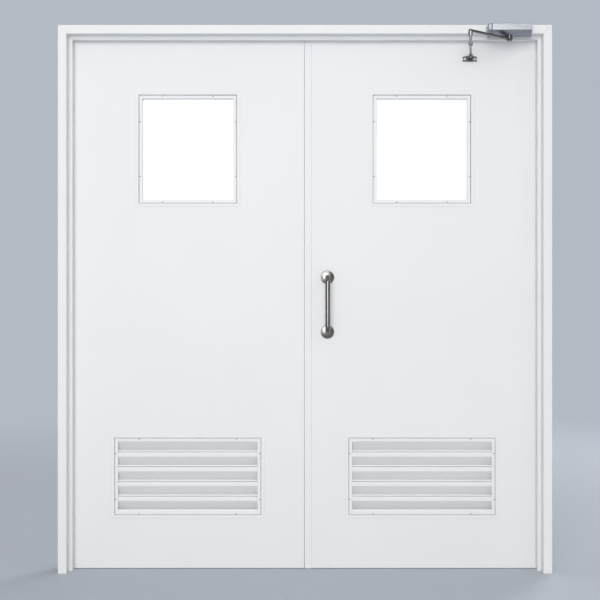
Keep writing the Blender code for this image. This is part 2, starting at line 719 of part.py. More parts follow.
def build_closer_body(materials):
    """The closer's case on the frame head, with its end cap and adjusting valves."""
    ends = [closer_section(CLOSER_LEFT), closer_section(CLOSER_RIGHT)]
    body = piece("closer_body", loft(ends), materials["silver"])
    bevel = body.modifiers.new("soft_edges", "BEVEL")
    bevel.width = CLOSER_BEVEL * MM
    bevel.segments = 2
    bore_top = CLOSER_BOTTOM + SPINDLE_INSERT + FIT
    bore = upright_rod(SPINDLE, (CLOSER_BOTTOM - FIT, bore_top), SPINDLE_RADIUS + 2 * FIT)
    cut(body, tool("spindle_bore", bore))
    cap_ends = [closer_section(CLOSER_LEFT - FIT - CLOSER_CAP), closer_section(CLOSER_LEFT - FIT)]
    cap = piece("closer_end_cap", loft(cap_ends), materials["grey"])
    bevel = cap.modifiers.new("soft_edges", "BEVEL")
    bevel.width = CLOSER_BEVEL * MM
    bevel.segments = 1
    cap_left = CLOSER_LEFT - FIT - CLOSER_CAP
    valve_heights = (CLOSER_TOP - CLOSER_HEIGHT / 4, CLOSER_TOP - CLOSER_HEIGHT / 2)
    for number, height in enumerate(valve_heights, 1):
        start = (cap_left - VALVE_LENGTH, -CLOSER_DEPTH / 2, height)
        end = (cap_left + CLOSER_CAP / 2, -CLOSER_DEPTH / 2, height)
        join(cap, tool(f"closer_valve_{number}", rod(start, end, VALVE_RADIUS, FINE_SIDES)))


def arm_outline(start, end, width, tip_width):
    """Plan outline of a tapered bar between two pivots."""
    start = Vector(start)
    end = Vector(end)
    along = (end - start).normalized()
    across = Vector((-along.y, along.x))
    return [
        start + across * (width / 2),
        start - across * (width / 2),
        end - across * (tip_width / 2),
        end + across * (tip_width / 2),
    ]


def build_main_arm(axis, materials):
    """Spindle and main arm, which turn together at the closer's body."""
    head_top = ARM_BOTTOM - FIT
    head_low = head_top - SPINDLE_HEAD
    shaft_low = head_top - SPINDLE_HEAD / 2
    shaft = upright_rod(SPINDLE, (shaft_low, CLOSER_BOTTOM + SPINDLE_INSERT), SPINDLE_RADIUS)
    spindle = piece("closer_spindle", shaft, materials["dark"], axis, smooth=True)
    head = upright_rod(SPINDLE, (head_low, head_top), SPINDLE_HEAD_RADIUS)
    join(spindle, tool("spindle_head", head))
    outline = arm_outline(SPINDLE, ELBOW, ARM_WIDTH, ARM_TIP_WIDTH)
    ends = [[(p.x, p.y, z) for p in outline] for z in (ARM_BOTTOM, ARM_TOP)]
    arm = piece("closer_main_arm", loft(ends), materials["dark"], axis)
    hub = upright_rod(SPINDLE, (ARM_BOTTOM, CLOSER_BOTTOM - FIT), ARM_HUB_RADIUS, ROUND_SIDES)
    tip = upright_rod(ELBOW, (ARM_BOTTOM, ARM_TOP), ARM_TIP_WIDTH / 2)
    pin_foot = ARM_BOTTOM - ELBOW_HEAD_HEIGHT
    pin = upright_rod(ELBOW, (pin_foot, ARM_TOP + SPINDLE_HEAD), ELBOW_PIN_RADIUS)
    join(arm, tool("arm_hub", hub), tool("arm_tip", tip), tool("elbow_pin", pin))
    hole = upright_rod(SPINDLE, (ARM_BOTTOM - FIT, CLOSER_BOTTOM), SPINDLE_RADIUS + FIT)
    cut(arm, tool("arm_hub_hole", hole))


def build_forearm(axis, materials):
    """Sleeve with its elbow head, and the adjustable rod with its eye over the shoe."""
    head_top = ARM_BOTTOM - FIT
    head_low = head_top - ELBOW_HEAD_HEIGHT
    start = Vector((*ELBOW, head_low + FOREARM_SLEEVE_RADIUS + FOREARM_WALL))
    end = Vector((*SHOE_PIVOT, EYE_BOTTOM + FOREARM_EYE_HEIGHT / 2))
    along = (end - start).normalized()
    sleeve_end = start + along * FOREARM_SLEEVE_LENGTH
    head = upright_rod(ELBOW, (head_low, head_top), ELBOW_RADIUS, ROUND_SIDES)
    sleeve = piece("closer_forearm_sleeve", head, materials["grey"], axis, smooth=True)
    sleeve_start = start + along * (ELBOW_PIN_RADIUS + FOREARM_WALL)
    tube = rod(sleeve_start, sleeve_end, FOREARM_SLEEVE_RADIUS, FINE_SIDES)
    nut_start = sleeve_end - along * FOREARM_NUT_LENGTH
    nut = rod(nut_start, sleeve_end, FOREARM_NUT_RADIUS, NUT_SIDES)
    join(sleeve, tool("forearm_tube", tube), tool("forearm_nut", nut))
    bore = upright_rod(ELBOW, (head_low - FIT, head_top + FIT), ELBOW_PIN_RADIUS + FIT)
    cut(sleeve, tool("elbow_bore", bore))
    rod_start = sleeve_end + along * FIT
    eye_reach = (EYE_BOTTOM, EYE_BOTTOM + FOREARM_EYE_HEIGHT)
    eye = upright_rod(SHOE_PIVOT, eye_reach, FOREARM_EYE_RADIUS, ROUND_SIDES)
    rod_piece = piece("closer_forearm_rod", eye, materials["grey"], axis, smooth=True)
    bar = rod(rod_start, end, FOREARM_ROD_RADIUS, FINE_SIDES)
    join(rod_piece, tool("forearm_bar", bar))


def build_shoe(axis, materials):
    """The plate on the leaf with notched ends, and the lug that the forearm's eye swings over."""
    low = SHOE_TOP_Z - SHOE_HEIGHT
    hole_z = low + SHOE_HOLE_RISE
    back = LEAF_FRONT - FIT
    front = back - SHOE_PLATE
    x = SHOE_PIVOT[0]
    half = SHOE_WIDTH / 2
    waist = SHOE_WAIST / 2
    outline = (
        (x - half, low + SHOE_END_RISE),
        (x, low),
        (x + half, low + SHOE_END_RISE),
        (x + half - SHOE_NOTCH, hole_z),
        (x + half, SHOE_TOP_Z - SHOE_END_DROP),
        (x + waist, SHOE_TOP_Z),
        (x - waist, SHOE_TOP_Z),
        (x - half, SHOE_TOP_Z - SHOE_END_DROP),
        (x - half + SHOE_NOTCH, hole_z),
    )
    ends = [[(px, y, pz) for px, pz in outline] for y in (front, back)]
    shoe = piece("closer_shoe", loft(ends), materials["dark"], axis)
    lug_z = (LUG_TOP - SHOE_LUG_THICKNESS, LUG_TOP)
    lug_x = (x - FOREARM_EYE_RADIUS, x + FOREARM_EYE_RADIUS)
    lug = box(lug_x, (SHOE_PIVOT[1], back - SHOE_PLATE / 2), lug_z)
    nose = upright_rod(SHOE_PIVOT, lug_z, FOREARM_EYE_RADIUS, ROUND_SIDES)
    join(shoe, tool("shoe_lug", lug), tool("shoe_lug_nose", nose))
    for side in SIDES.values():
        centre_x = x + side * SHOE_HOLE_SPREAD / 2
        hole_ends = ((centre_x, front - FIT, hole_z), (centre_x, back + FIT, hole_z))
        hole = rod(*hole_ends, SHOE_HOLE_RADIUS, FINE_SIDES)
        cut(shoe, tool(f"shoe_hole_{side}", hole))


def build_materials():
    """The finishes that the pieces share."""
    return {
        "paint": make_material("white_paint", (0.83, 0.84, 0.85), 0.45, 0.0),
        "card": make_material("honeycomb_card", (0.55, 0.42, 0.27), 0.9, 0.0),
        "glass": make_material("obscured_glass", (0.95, 0.96, 0.96), 0.2, 0.0),
        "steel": make_material("satin_steel", (0.62, 0.62, 0.63), 0.28, 1.0),
        "zinc": make_material("plated_hinge", (0.68, 0.68, 0.7), 0.35, 1.0),
        "silver": make_material("silver_case", (0.72, 0.73, 0.75), 0.4, 0.6),
        "grey": make_material("grey_arm", (0.42, 0.43, 0.45), 0.45, 0.6),
        "dark": make_material("dark_steel", (0.09, 0.09, 0.1), 0.5, 0.7),
        "rubber": make_material("stop_rubber", (0.12, 0.12, 0.12), 0.8, 0.0),
    }


def main():
    start_scene()
    materials = build_materials()
    leaf_axes = {}
    for label, side in SIDES.items():
        leaf_axes[label] = make_axis(f"{label}_leaf_axis", (side * PIN_X, PIN_Y, 0.0))
    arm_axis = make_axis("main_arm_axis", (*SPINDLE, ARM_BOTTOM))
    forearm_axis = make_axis("forearm_axis", (*ELBOW, ARM_BOTTOM))
    build_frame(materials)
    for label, side in SIDES.items():
        axis = leaf_axes[label]
        build_hinges(label, side, axis, materials)
        build_leaf(label, side, axis, materials)
        build_vision_panel(label, side, axis, materials)
        build_louvre(label, side, axis, materials)
    right = leaf_axes["right"]
    build_astragal(right, materials)
    build_handle("front", LEAF_FRONT, -1, right, materials)
    build_handle("rear", LEAF_BACK, 1, right, materials)
    build_closer_body(materials)
    build_main_arm(arm_axis, materials)
    build_forearm(forearm_axis, materials)
    build_shoe(right, materials)


main()
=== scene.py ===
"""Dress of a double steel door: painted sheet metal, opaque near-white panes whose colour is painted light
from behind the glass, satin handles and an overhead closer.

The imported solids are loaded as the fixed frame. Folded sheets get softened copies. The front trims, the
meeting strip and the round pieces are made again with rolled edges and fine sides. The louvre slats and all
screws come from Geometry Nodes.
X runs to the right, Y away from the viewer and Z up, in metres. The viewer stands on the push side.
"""

from __future__ import annotations

import logging
import math
from dataclasses import dataclass, field
from enum import Enum
from typing import Sequence

import bmesh
import bpy
from bpy.types import Material, Mesh, Node, NodeOutputs, NodeSocket, NodeTree, Object
from mathutils import Matrix, Vector

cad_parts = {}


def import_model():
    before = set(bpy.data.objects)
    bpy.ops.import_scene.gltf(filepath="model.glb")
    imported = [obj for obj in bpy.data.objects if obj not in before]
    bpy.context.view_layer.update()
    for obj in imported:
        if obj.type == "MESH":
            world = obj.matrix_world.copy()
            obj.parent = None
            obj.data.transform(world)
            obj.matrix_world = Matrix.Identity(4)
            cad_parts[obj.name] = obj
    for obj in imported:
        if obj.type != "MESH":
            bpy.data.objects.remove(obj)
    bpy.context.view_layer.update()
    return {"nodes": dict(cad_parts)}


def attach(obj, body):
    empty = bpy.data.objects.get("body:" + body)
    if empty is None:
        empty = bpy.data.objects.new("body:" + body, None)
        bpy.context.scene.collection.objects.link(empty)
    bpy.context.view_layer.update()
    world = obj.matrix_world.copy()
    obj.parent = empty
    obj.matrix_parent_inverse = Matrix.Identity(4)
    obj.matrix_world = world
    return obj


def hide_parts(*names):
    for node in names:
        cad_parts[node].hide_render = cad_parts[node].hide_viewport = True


LOG = logging.getLogger("double_door")
MM = 0.001
Point = tuple[float, float, float]
Colour = tuple[float, float, float]

TO_VIEWER: Point = (0.0, -1.0, 0.0)
WELD = 1e-6
SOLID_WELD = 1e-5
FLAT_ANGLE = math.radians(0.5)
ROUNDED_ANGLE = math.radians(40)
SMOOTH_ANGLE = math.radians(38)
GROWN_ANGLE = math.radians(30)
ROUNDING_STEPS = 2
AREA_WEIGHT = 100


class Body(Enum):
    """The moving bodies that pieces ride on."""

    FRAME = "frame"
    LEFT_LEAF = "left_leaf"
    RIGHT_LEAF = "right_leaf"
    ARM = "closer_arm"
    FOREARM = "closer_forearm"


class Slot(Enum):
    """Material slots of the part's record."""

    PAINT = "white_paint"
    CORE = "core"
    GLASS = "glass"
    STEEL = "satin_steel"
    HINGE = "hinge_plating"
    CASE = "closer_case"
    GREY = "closer_grey"
    DARK = "closer_dark"
    RUBBER = "rubber"


class Side(Enum):
    """The two leaves, with the sign of their side of the door."""

    LEFT = -1
    RIGHT = 1

    @property
    def label(self) -> str:
        """Lower-case word used in node names."""
        return self.name.lower()

    @property
    def body(self) -> Body:
        """The leaf's own body."""
        return Body.LEFT_LEAF if self is Side.LEFT else Body.RIGHT_LEAF


class Face(Enum):
    """The leaf's faces, with the way that each looks along Y."""

    FRONT = -1
    REAR = 1


class Axis(Enum):
    """Direction that a brushed grain runs along, as the stretch of its noise."""

    ALONG_X = (14.0, 900.0, 900.0)
    ALONG_Z = (900.0, 900.0, 14.0)
    NONE = (420.0, 420.0, 420.0)


# Nodes


def feed(node: Node, values: dict[str | int, object]) -> None:
    """Set or link the inputs of a node.

    Args:
        node: Node to feed.
        values: By input, a plain value, an output to link, or a list of outputs.
    """
    for entry, value in values.items():
        for item in value if isinstance(value, list) else [value]:
            if isinstance(item, NodeSocket):
                node.id_data.links.new(item, node.inputs[entry])
            else:
                node.inputs[entry].default_value = item


def add_node(
    tree: NodeTree, kind: str, values: dict[str | int, object] | None = None, **settings: object
) -> NodeOutputs:
    """Add a node, set its plain properties and feed its inputs.

    Args:
        tree: Node tree that takes the node.
        kind: Blender's name of the node type.
        values: What its inputs are fed with.
        settings: Properties of the node by name.

    Returns:
        The outputs of the new node.
    """
    node = tree.nodes.new(kind)
    for name, value in settings.items():
        setattr(node, name, value)
    feed(node, values or {})
    return node.outputs


def add_ramp(
    tree: NodeTree, value: NodeSocket, marks: Sequence[object], form: str = "SMOOTHSTEP"
) -> NodeSocket:
    """Add a ramp from one range of values to another.

    Args:
        tree: Node tree that takes it.
        value: Output that runs over the ramp.
        marks: Start and end of the ramp, then the values there if they aren't 0 and 1.
        form: Blender's name of the ramp's form.

    Returns:
        The ramp's output.
    """
    labels = ("Value", "From Min", "From Max", "To Min", "To Max")
    values = dict(zip(labels, (value, *marks)))
    return add_node(tree, "ShaderNodeMapRange", values, interpolation_type=form)["Result"]


def new_group(name: str, kind: str, inputs: dict[str, str], outputs: dict[str, str]) -> tuple:
    """Make a node group with named sockets.

    Args:
        name: Name of the group.
        kind: ShaderNodeTree or GeometryNodeTree.
        inputs: Kinds of its inputs by name, such as Float.
        outputs: Kinds of its outputs by name.

    Returns:
        The group, the values given to it and the node that takes its results.
    """
    group = bpy.data.node_groups.new(name, kind)
    for way, sockets in (("INPUT", inputs), ("OUTPUT", outputs)):
        for label, socket in sockets.items():
            group.interface.new_socket(label, in_out=way, socket_type=f"NodeSocket{socket}")
    return group, group.nodes.new("NodeGroupInput").outputs, group.nodes.new("NodeGroupOutput")


class Effects:
    """Shader node groups that several finishes share, each built once."""

    dust_reach = 0.25

    def __init__(self) -> None:
        """Build every group."""
        self.tone = self._tone()
        self.grain = self._grain()
        self.dust = self._dust()
        self.fleck = self._fleck()

    @staticmethod
    def _tone() -> NodeTree:
        """Slow drift of a base colour over the surface.

        Returns:
            A group with the output Colour.
        """
        inputs = {"Base": "Color", "Shade": "Color", "Scale": "Float"}
        group, given, sink = new_group("tone_drift", "ShaderNodeTree", inputs, {"Colour": "Color"})
        place = add_node(group, "ShaderNodeTexCoord")
        values = {"Vector": place["Object"], "Scale": given["Scale"], "Detail": 3.0}
        noise = add_node(group, "ShaderNodeTexNoise", values)
        spread = add_ramp(group, noise["Fac"], (0.32, 0.68), "LINEAR")
        values = {"Factor": spread, "A": given["Base"], "B": given["Shade"]}
        mix = add_node(group, "ShaderNodeMix", values, data_type="RGBA")
        feed(sink, {"Colour": mix["Result"]})
        return group

    @staticmethod
    def _grain() -> NodeTree:
        """Fine relief: orange peel when even, brushing when stretched.

        Returns:
            A group with the outputs Height and Roughness.
        """
        inputs = {"Stretch": "Vector", "Low": "Float", "High": "Float"}
        outputs = {"Height": "Float", "Roughness": "Float"}
        group, given, sink = new_group("surface_grain", "ShaderNodeTree", inputs, outputs)
        place = add_node(group, "ShaderNodeTexCoord")
        values = {"Vector": place["Object"], "Scale": given["Stretch"]}
        mapping = add_node(group, "ShaderNodeMapping", values)
        values = {"Vector": mapping["Vector"], "Scale": 1.0, "Detail": 2.0}
        noise = add_node(group, "ShaderNodeTexNoise", values)
        spread = add_ramp(group, noise["Fac"], (0.3, 0.7, given["Low"], given["High"]), "LINEAR")
        feed(sink, {"Height": noise["Fac"], "Roughness": spread})
        return group

    def _dust(self) -> NodeTree:
        """Scuffs and dust that gather towards the floor.

        Returns:
            A group with the output Colour.
        """
        inputs = {"Colour": "Color", "Dust": "Color", "Amount": "Float"}
        group, given, sink = new_group("floor_dust", "ShaderNodeTree", inputs, {"Colour": "Color"})
        place = add_node(group, "ShaderNodeTexCoord")
        split = add_node(group, "ShaderNodeSeparateXYZ", {"Vector": place["Object"]})
        fade = add_ramp(group, split["Z"], (0.0, self.dust_reach, 1.0, 0.0))
        values = {"Vector": place["Object"], "Scale": 22.0, "Detail": 5.0}
        noise = add_node(group, "ShaderNodeTexNoise", values)
        patch = add_node(group, "ShaderNodeMath", {0: fade, 1: noise["Fac"]}, operation="MULTIPLY")
        values = {0: patch["Value"], 1: given["Amount"]}
        share = add_node(group, "ShaderNodeMath", values, operation="MULTIPLY")
        values = {"Factor": share["Value"], "A": given["Colour"], "B": given["Dust"]}
        mix = add_node(group, "ShaderNodeMix", values, data_type="RGBA")
        feed(sink, {"Colour": mix["Result"]})
        return group

    @staticmethod
    def _fleck() -> NodeTree:
        """Crystal-like flecks of plating and of metallic lacquer.

        Returns:
            A group with the output Colour.
        """
        inputs = {"Colour": "Color", "Fleck": "Color", "Scale": "Float"}
        group, given, sink = new_group("metal_fleck", "ShaderNodeTree", inputs, {"Colour": "Color"})
        place = add_node(group, "ShaderNodeTexCoord")
        values = {"Vector": place["Object"], "Scale": given["Scale"]}
        cells = add_node(group, "ShaderNodeTexVoronoi", values, feature="F1")
        split = add_node(group, "ShaderNodeSeparateColor", {"Color": cells["Color"]})
        values = {"Factor": split["Red"], "A": given["Colour"], "B": given["Fleck"]}
        mix = add_node(group, "ShaderNodeMix", values, data_type="RGBA")
        feed(sink, {"Colour": mix["Result"]})
        return group


# Finishes


@dataclass(frozen=True)
class Finish:
    """A procedural finish: drifting colour, fine relief, and optional dust or flecks."""

    name: str
    slot: Slot
    base: Colour
    shade: Colour
    roughness: tuple[float, float]
    metallic: float = 0.0
    ior: float = 1.45
    tone_scale: float = 2.5
    grain: Axis = Axis.NONE
    relief: float = 0.05
    depth: float = 0.0002
    dust: float = 0.0
    dust_shade: float = 0.72
    fleck: float = 0.0
    fleck_gain: float = 1.18

    def material(self, effects: Effects) -> Material:
        """Build the node material.

        Args:
            effects: Shared shader groups.

        Returns:
            The finished material.
        """
        material = bpy.data.materials.new(self.name)
        material.use_nodes = True
        tree = material.node_tree
        low, high = self.roughness
        values = {"Stretch": self.grain.value, "Low": low, "High": high}
        grain = add_node(tree, "ShaderNodeGroup", values, node_tree=effects.grain)
        values = {"Height": grain["Height"], "Strength": self.relief, "Distance": self.depth}
        bump = add_node(tree, "ShaderNodeBump", values)
        values = {
            "Base Color": self._colour(tree, effects),
            "Metallic": self.metallic,
            "Roughness": grain["Roughness"],
            "IOR": self.ior,
            "Normal": bump["Normal"],
        }
        feed(tree.nodes["Principled BSDF"], values)
        return material

    def _colour(self, tree: NodeTree, effects: Effects) -> NodeSocket:
        """Chain the colour effects.

        Args:
            tree: The material's node tree.
            effects: Shared shader groups.

        Returns:
            The socket that carries the final colour.
        """
        values = {"Base": (*self.base, 1.0), "Shade": (*self.shade, 1.0), "Scale": self.tone_scale}
        last = add_node(tree, "ShaderNodeGroup", values, node_tree=effects.tone)
        if self.fleck > 0.0:
            bright = (*(min(1.0, part * self.fleck_gain) for part in self.base), 1.0)
            values = {"Colour": last["Colour"], "Fleck": bright, "Scale": self.fleck}
            last = add_node(tree, "ShaderNodeGroup", values, node_tree=effects.fleck)
        if self.dust > 0.0:
            dim = (*(part * self.dust_shade for part in self.base), 1.0)
            values = {"Colour": last["Colour"], "Dust": dim, "Amount": self.dust}
            last = add_node(tree, "ShaderNodeGroup", values, node_tree=effects.dust)
        return last["Colour"]


PAINT = Finish(
    "painted_sheet", Slot.PAINT, base=(0.798, 0.800, 0.797), shade=(0.784, 0.786, 0.784),
    roughness=(0.40, 0.50), relief=0.06, dust=0.05,
)
# painted light: an opaque near-white pane whose colour stands for the light seen through the glass
PANE_PAINTED_BACKLIGHT = Finish(
    "obscured_pane", Slot.GLASS, base=(0.988, 0.988, 0.986), shade=(0.980, 0.981, 0.980),
    roughness=(0.16, 0.24), ior=1.5, relief=0.03,
)
SATIN = Finish(
    "satin_bar", Slot.STEEL, base=(0.212, 0.206, 0.196), shade=(0.186, 0.180, 0.171),
    roughness=(0.19, 0.24), metallic=1.0, tone_scale=9.0, grain=Axis.ALONG_Z, relief=0.015, depth=0.0001,
)
PLATING = Finish(
    "hinge_plating", Slot.HINGE, base=(0.66, 0.67, 0.68), shade=(0.60, 0.60, 0.59),
    roughness=(0.26, 0.42), metallic=1.0, fleck=420.0,
)
CASE = Finish(
    "closer_lacquer", Slot.CASE, base=(0.375, 0.392, 0.418), shade=(0.347, 0.364, 0.388),
    roughness=(0.26, 0.36), metallic=0.95, tone_scale=12.0, grain=Axis.ALONG_X, relief=0.08, depth=0.0001,
    fleck=900.0,
)
CAP_GREY = Finish(
    "cap_lacquer", Slot.GREY, base=(0.31, 0.325, 0.35), shade=(0.28, 0.295, 0.32),
    roughness=(0.28, 0.38), metallic=0.85, tone_scale=14.0, relief=0.08, fleck=900.0,
)
ARM_GREY = Finish(
    "arm_lacquer", Slot.GREY, base=(0.25, 0.254, 0.262), shade=(0.22, 0.224, 0.232),
    roughness=(0.20, 0.30), metallic=0.95, tone_scale=14.0, relief=0.10, fleck=900.0,
)
# dark steel of the closer's spindle, arm and shoe; on the panel screws its darkness is painted shade at the
# trims' gap lines
DARK_STEEL_AND_PAINTED_SHADE = Finish(
    "dark_steel", Slot.DARK, base=(0.125, 0.124, 0.124), shade=(0.092, 0.090, 0.089),
    roughness=(0.22, 0.34), metallic=0.9, tone_scale=20.0, relief=0.16,
)
RUBBER = Finish(
    "buffer_rubber", Slot.RUBBER, base=(0.035, 0.035, 0.036), shade=(0.05, 0.05, 0.05),
    roughness=(0.6, 0.78), tone_scale=60.0, relief=0.2,
)
CARD = Finish(
    "core_card", Slot.CORE, base=(0.50, 0.38, 0.24), shade=(0.42, 0.31, 0.19),
    roughness=(0.8, 0.95), tone_scale=30.0, relief=0.3,
)
FINISHES = (PAINT, PANE_PAINTED_BACKLIGHT, SATIN, PLATING, CASE, CAP_GREY, ARM_GREY, DARK_STEEL_AND_PAINTED_SHADE, RUBBER, CARD)


# Mesh helpers


def add_object(name: str, data: bpy.types.ID) -> Object:
    """Put an object into the scene.

    Args:
        name: Its name.
        data: Its mesh, lamp or camera.

    Returns:
        The object.
    """
    item = bpy.data.objects.new(name, data)
    bpy.context.scene.collection.objects.link(item)
    return item


@dataclass
class Shop:
    """Shared bench: the loaded frame, the materials, the node trees and the names of the finished pieces."""

    nodes: dict[str, Object]
    materials: dict[Finish, Material]
    shapes: NodeShapes
    pieces: list[str] = field(default_factory=list)

    def finish_piece(
        self, name: str, mesh: Mesh, finish: Finish, body: Body, replaced: Sequence[str] = ()
    ) -> None:
        """Turn a mesh into a piece that rides on a body.

        Args:
            name: Name of the piece.
            mesh: Mesh in place, in metres.
            finish: Finish of the piece.
            body: Body that it moves with.
            replaced: CAD nodes that it stands for.
        """
        mesh.name = name
        mesh.materials.clear()
        mesh.materials.append(self.materials[finish])
        piece = add_object(name, mesh)
        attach(piece, body.value)
        if replaced:
            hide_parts(*replaced)
        self.pieces.append(name)
        LOG.info("%s: %d faces on %s", name, len(mesh.polygons), body.value)

    def dress_node(self, node: str, finish: Finish) -> None:
        """Give a CAD node that stays as it is its finish.

        Args:
            node: CAD node to dress.
            finish: Its finish.
        """
        solid = self.nodes[node]
        solid.data.materials.clear()
        solid.data.materials.append(self.materials[finish])
        LOG.info("%s: dressed", node)

    def bounds(self, node: str) -> tuple[Vector, Vector]:
        """Box round a CAD node.

        Args:
            node: CAD node to measure.

        Returns:
            Its low and high corners.
        """
        columns = list(zip(*(vertex.co for vertex in self.nodes[node].data.vertices)))
        return Vector([min(column) for column in columns]), Vector([max(column) for column in columns])

    def soften(
        self, node: str, word: str, finish: Finish, body: Body, width: float, clamp: bool = False
    ) -> None:
        """Make a piece from a CAD node, with its sharp edges rounded.

        Args:
            node: CAD node that it stands for.
            word: Last word of the piece's name.
            finish: Finish of the piece.
            body: Body that it moves with.
            width: Width of the rounding.
            clamp: Keeps the rounding narrow where edges lie close.
        """
        bm = bmesh.new()
        bm.from_mesh(self.nodes[node].data)
        bmesh.ops.remove_doubles(bm, verts=bm.verts, dist=SOLID_WELD)
        bmesh.ops.dissolve_limit(bm, angle_limit=FLAT_ANGLE, verts=bm.verts, edges=bm.edges)
        mesh = bpy.data.meshes.new("softened")
        bm.to_mesh(mesh)
        bm.free()
        mesh.shade_smooth()
        holder = add_object("softened", mesh)
        bevel = holder.modifiers.new("rounding", "BEVEL")
        bevel.width = width
        bevel.segments = ROUNDING_STEPS
        bevel.limit_method = "ANGLE"
        bevel.angle_limit = ROUNDED_ANGLE
        bevel.use_clamp_overlap = clamp
        even = holder.modifiers.new("even_normals", "WEIGHTED_NORMAL")
        even.mode = "FACE_AREA"
        even.weight = AREA_WEIGHT
        self.finish_piece(f"{node}_{word}", settled(holder), finish, body, [node])


def settled(holder: Object) -> Mesh:
    """Evaluate an object with modifiers to a plain mesh and remove the object.

    Args:
        holder: Object with its modifiers.

    Returns:
        The plain mesh.
    """
    bpy.context.view_layer.update()
    evaluated = holder.evaluated_get(bpy.context.evaluated_depsgraph_get())
    mesh = bpy.data.meshes.new_from_object(evaluated)
    source = holder.data
    holder.modifiers.clear()
    bpy.data.objects.remove(holder, do_unlink=True)
    bpy.data.meshes.remove(source)
    return mesh


def smoothed(mesh: Mesh, angle: float) -> Mesh:
    """Shade a mesh smooth.

    Args:
        mesh: Mesh to shade.
        angle: Edges sharper than this stay sharp, in radians.

    Returns:
        The same mesh.
    """
    mesh.shade_smooth()
    mesh.set_sharp_from_angle(angle=angle)
    return mesh


def mesh_from(bm: bmesh.types.BMesh) -> Mesh:
    """Close a bmesh into a smooth plain mesh.

    Args:
        bm: Shape in place; it is freed.

    Returns:
        The mesh.
    """
    bmesh.ops.remove_doubles(bm, verts=bm.verts, dist=WELD)
    bmesh.ops.recalc_face_normals(bm, faces=bm.faces)
    mesh = bpy.data.meshes.new("piece")
    bm.to_mesh(mesh)
    bm.free()
    return smoothed(mesh, SMOOTH_ANGLE)


def skin(loops: Sequence[Sequence[Vector]], closed: bool = False, caps: bool = False) -> Mesh:
    """Skin loops of equal length.

    Args:
        loops: The loops, in order.
        closed: Joins the last loop to the first.
        caps: Closes the first and the last loop with a face.

    Returns:
        The mesh.
    """
    bm = bmesh.new()
    rows = [[bm.verts.new(point) for point in loop] for loop in loops]
    following = rows[1:] + rows[:1] if closed else rows[1:]
    for first, second in zip(rows, following):
        for step, corner in enumerate(first):
            after = (step + 1) % len(first)
            bm.faces.new((corner, first[after], second[after], second[step]))
    if caps:
        bm.faces.new(rows[0])
        bm.faces.new(rows[-1])
    return mesh_from(bm)


def circle(sides: int) -> list[tuple[float, float]]:
    """Even steps round a circle of radius 1.

    Args:
        sides: Number of steps.

    Returns:
        The points.
    """
    angles = [2 * math.pi * step / sides for step in range(sides)]
    return [(math.cos(angle), math.sin(angle)) for angle in angles]


def rolled(steps: int) -> list[tuple[float, float]]:
    """Steps of a rolled edge, from its flat side to its upright side.

    Args:
        steps: Number of steps.

    Returns:
        Shares of the radius, as the inset from the edge and the depth below the flat side.
    """
    angles = [math.pi / 2 * step / steps for step in range(steps + 1)]
    return [(1 - math.sin(angle), 1 - math.cos(angle)) for angle in angles]


def lathe(profile: Sequence[tuple[float, float]], place: Matrix, sides: int = 64) -> Mesh:
    """Turn a profile round its own Z axis.

    Args:
        profile: Points as (radius, height), from the axis round to the axis.
        place: Where the turned shape stands.
        sides: Steps of the turn.

    Returns:
        The mesh.
    """
    loops = []
    for radius, height in profile:
        loops.append([place @ Vector((radius * x, radius * y, height)) for x, y in circle(sides)])
    return skin(loops)


def tube(path: Sequence[Vector], radius: float, sides: int) -> Mesh:
    """A round bar along a path that lies in one plane or bends gently.

    Args:
        path: Points of the centre line.
        radius: Radius of the bar.
        sides: Points round the bar.

    Returns:
        A closed mesh.
    """
    before = [path[0], *path[:-1]]
    after = [*path[1:], path[-1]]
    ways = [(end - start).normalized() for start, end in zip(before, after)]
    across = ways[0].orthogonal().normalized()
    loops = []
    for point, way in zip(path, ways):
        across = (across - way * across.dot(way)).normalized()
        other = way.cross(across)
        loops.append([point + (across * x + other * y) * radius for x, y in circle(sides)])
    return skin(loops, caps=True)


def fillet(points: Sequence[Vector], radius: float, steps: int = 5) -> list[Vector]:
    """Round the inner corners of a path with tangent arcs.

    Args:
        points: Corners of the path.
        radius: Radius of the arcs.
        steps: Steps of each arc.

    Returns:
        Points of the rounded path.
    """
    rounded = [points[0]]
    for before, corner, after in zip(points, points[1:], points[2:]):
        into = (before - corner).normalized()
        out = (after - corner).normalized()
        half = into.angle(out) / 2
        reach = radius / math.tan(half)
        middle = corner + (into + out).normalized() * (radius / math.sin(half))
        first = (corner + into * reach - middle).normalized()
        last = (corner + out * reach - middle).normalized()
        for step in range(steps + 1):
            rounded.append(middle + first.slerp(last, step / steps) * radius)
    rounded.append(points[-1])
    return rounded


def beside(path: Sequence[Vector], distance: float) -> list[Vector]:
    """Shift a flat path to its left, with mitred corners.

    Args:
        path: Corners of the path, in the XY plane.
        distance: How far to shift it.

    Returns:
        Corners of the shifted path.
    """
    shifted = []
    for index, point in enumerate(path):
        legs = zip(path[max(index - 1, 0):index + 1], path[max(index, 1):index + 2])
        ways = [(after - before).normalized() for before, after in legs]
        normals = [Vector((-way.y, way.x, 0.0)) for way in ways]
        middle = sum(normals, Vector()).normalized()
        shifted.append(point + middle * (distance / middle.dot(normals[0])))
    return shifted


def rounded_loop(
    middle: Vector, half_x: float, half_z: float, radius: float, steps: int = 6
) -> list[Vector]:
    """Corner-rounded rectangle in a plane across Y.

    Args:
        middle: Its middle.
        half_x: Half its width.
        half_z: Half its height.
        radius: Radius of its corners.
        steps: Steps of each corner.

    Returns:
        The points of the loop in order.
    """
    points = []
    for quarter, (sign_x, sign_z) in enumerate(((1, 1), (-1, 1), (-1, -1), (1, -1))):
        centre = middle + Vector((sign_x * (half_x - radius), 0.0, sign_z * (half_z - radius)))
        for step in range(steps + 1):
            angle = math.pi / 2 * (quarter + step / steps)
            points.append(centre + Vector((radius * math.cos(angle), 0.0, radius * math.sin(angle))))
    return points


# Geometry Nodes


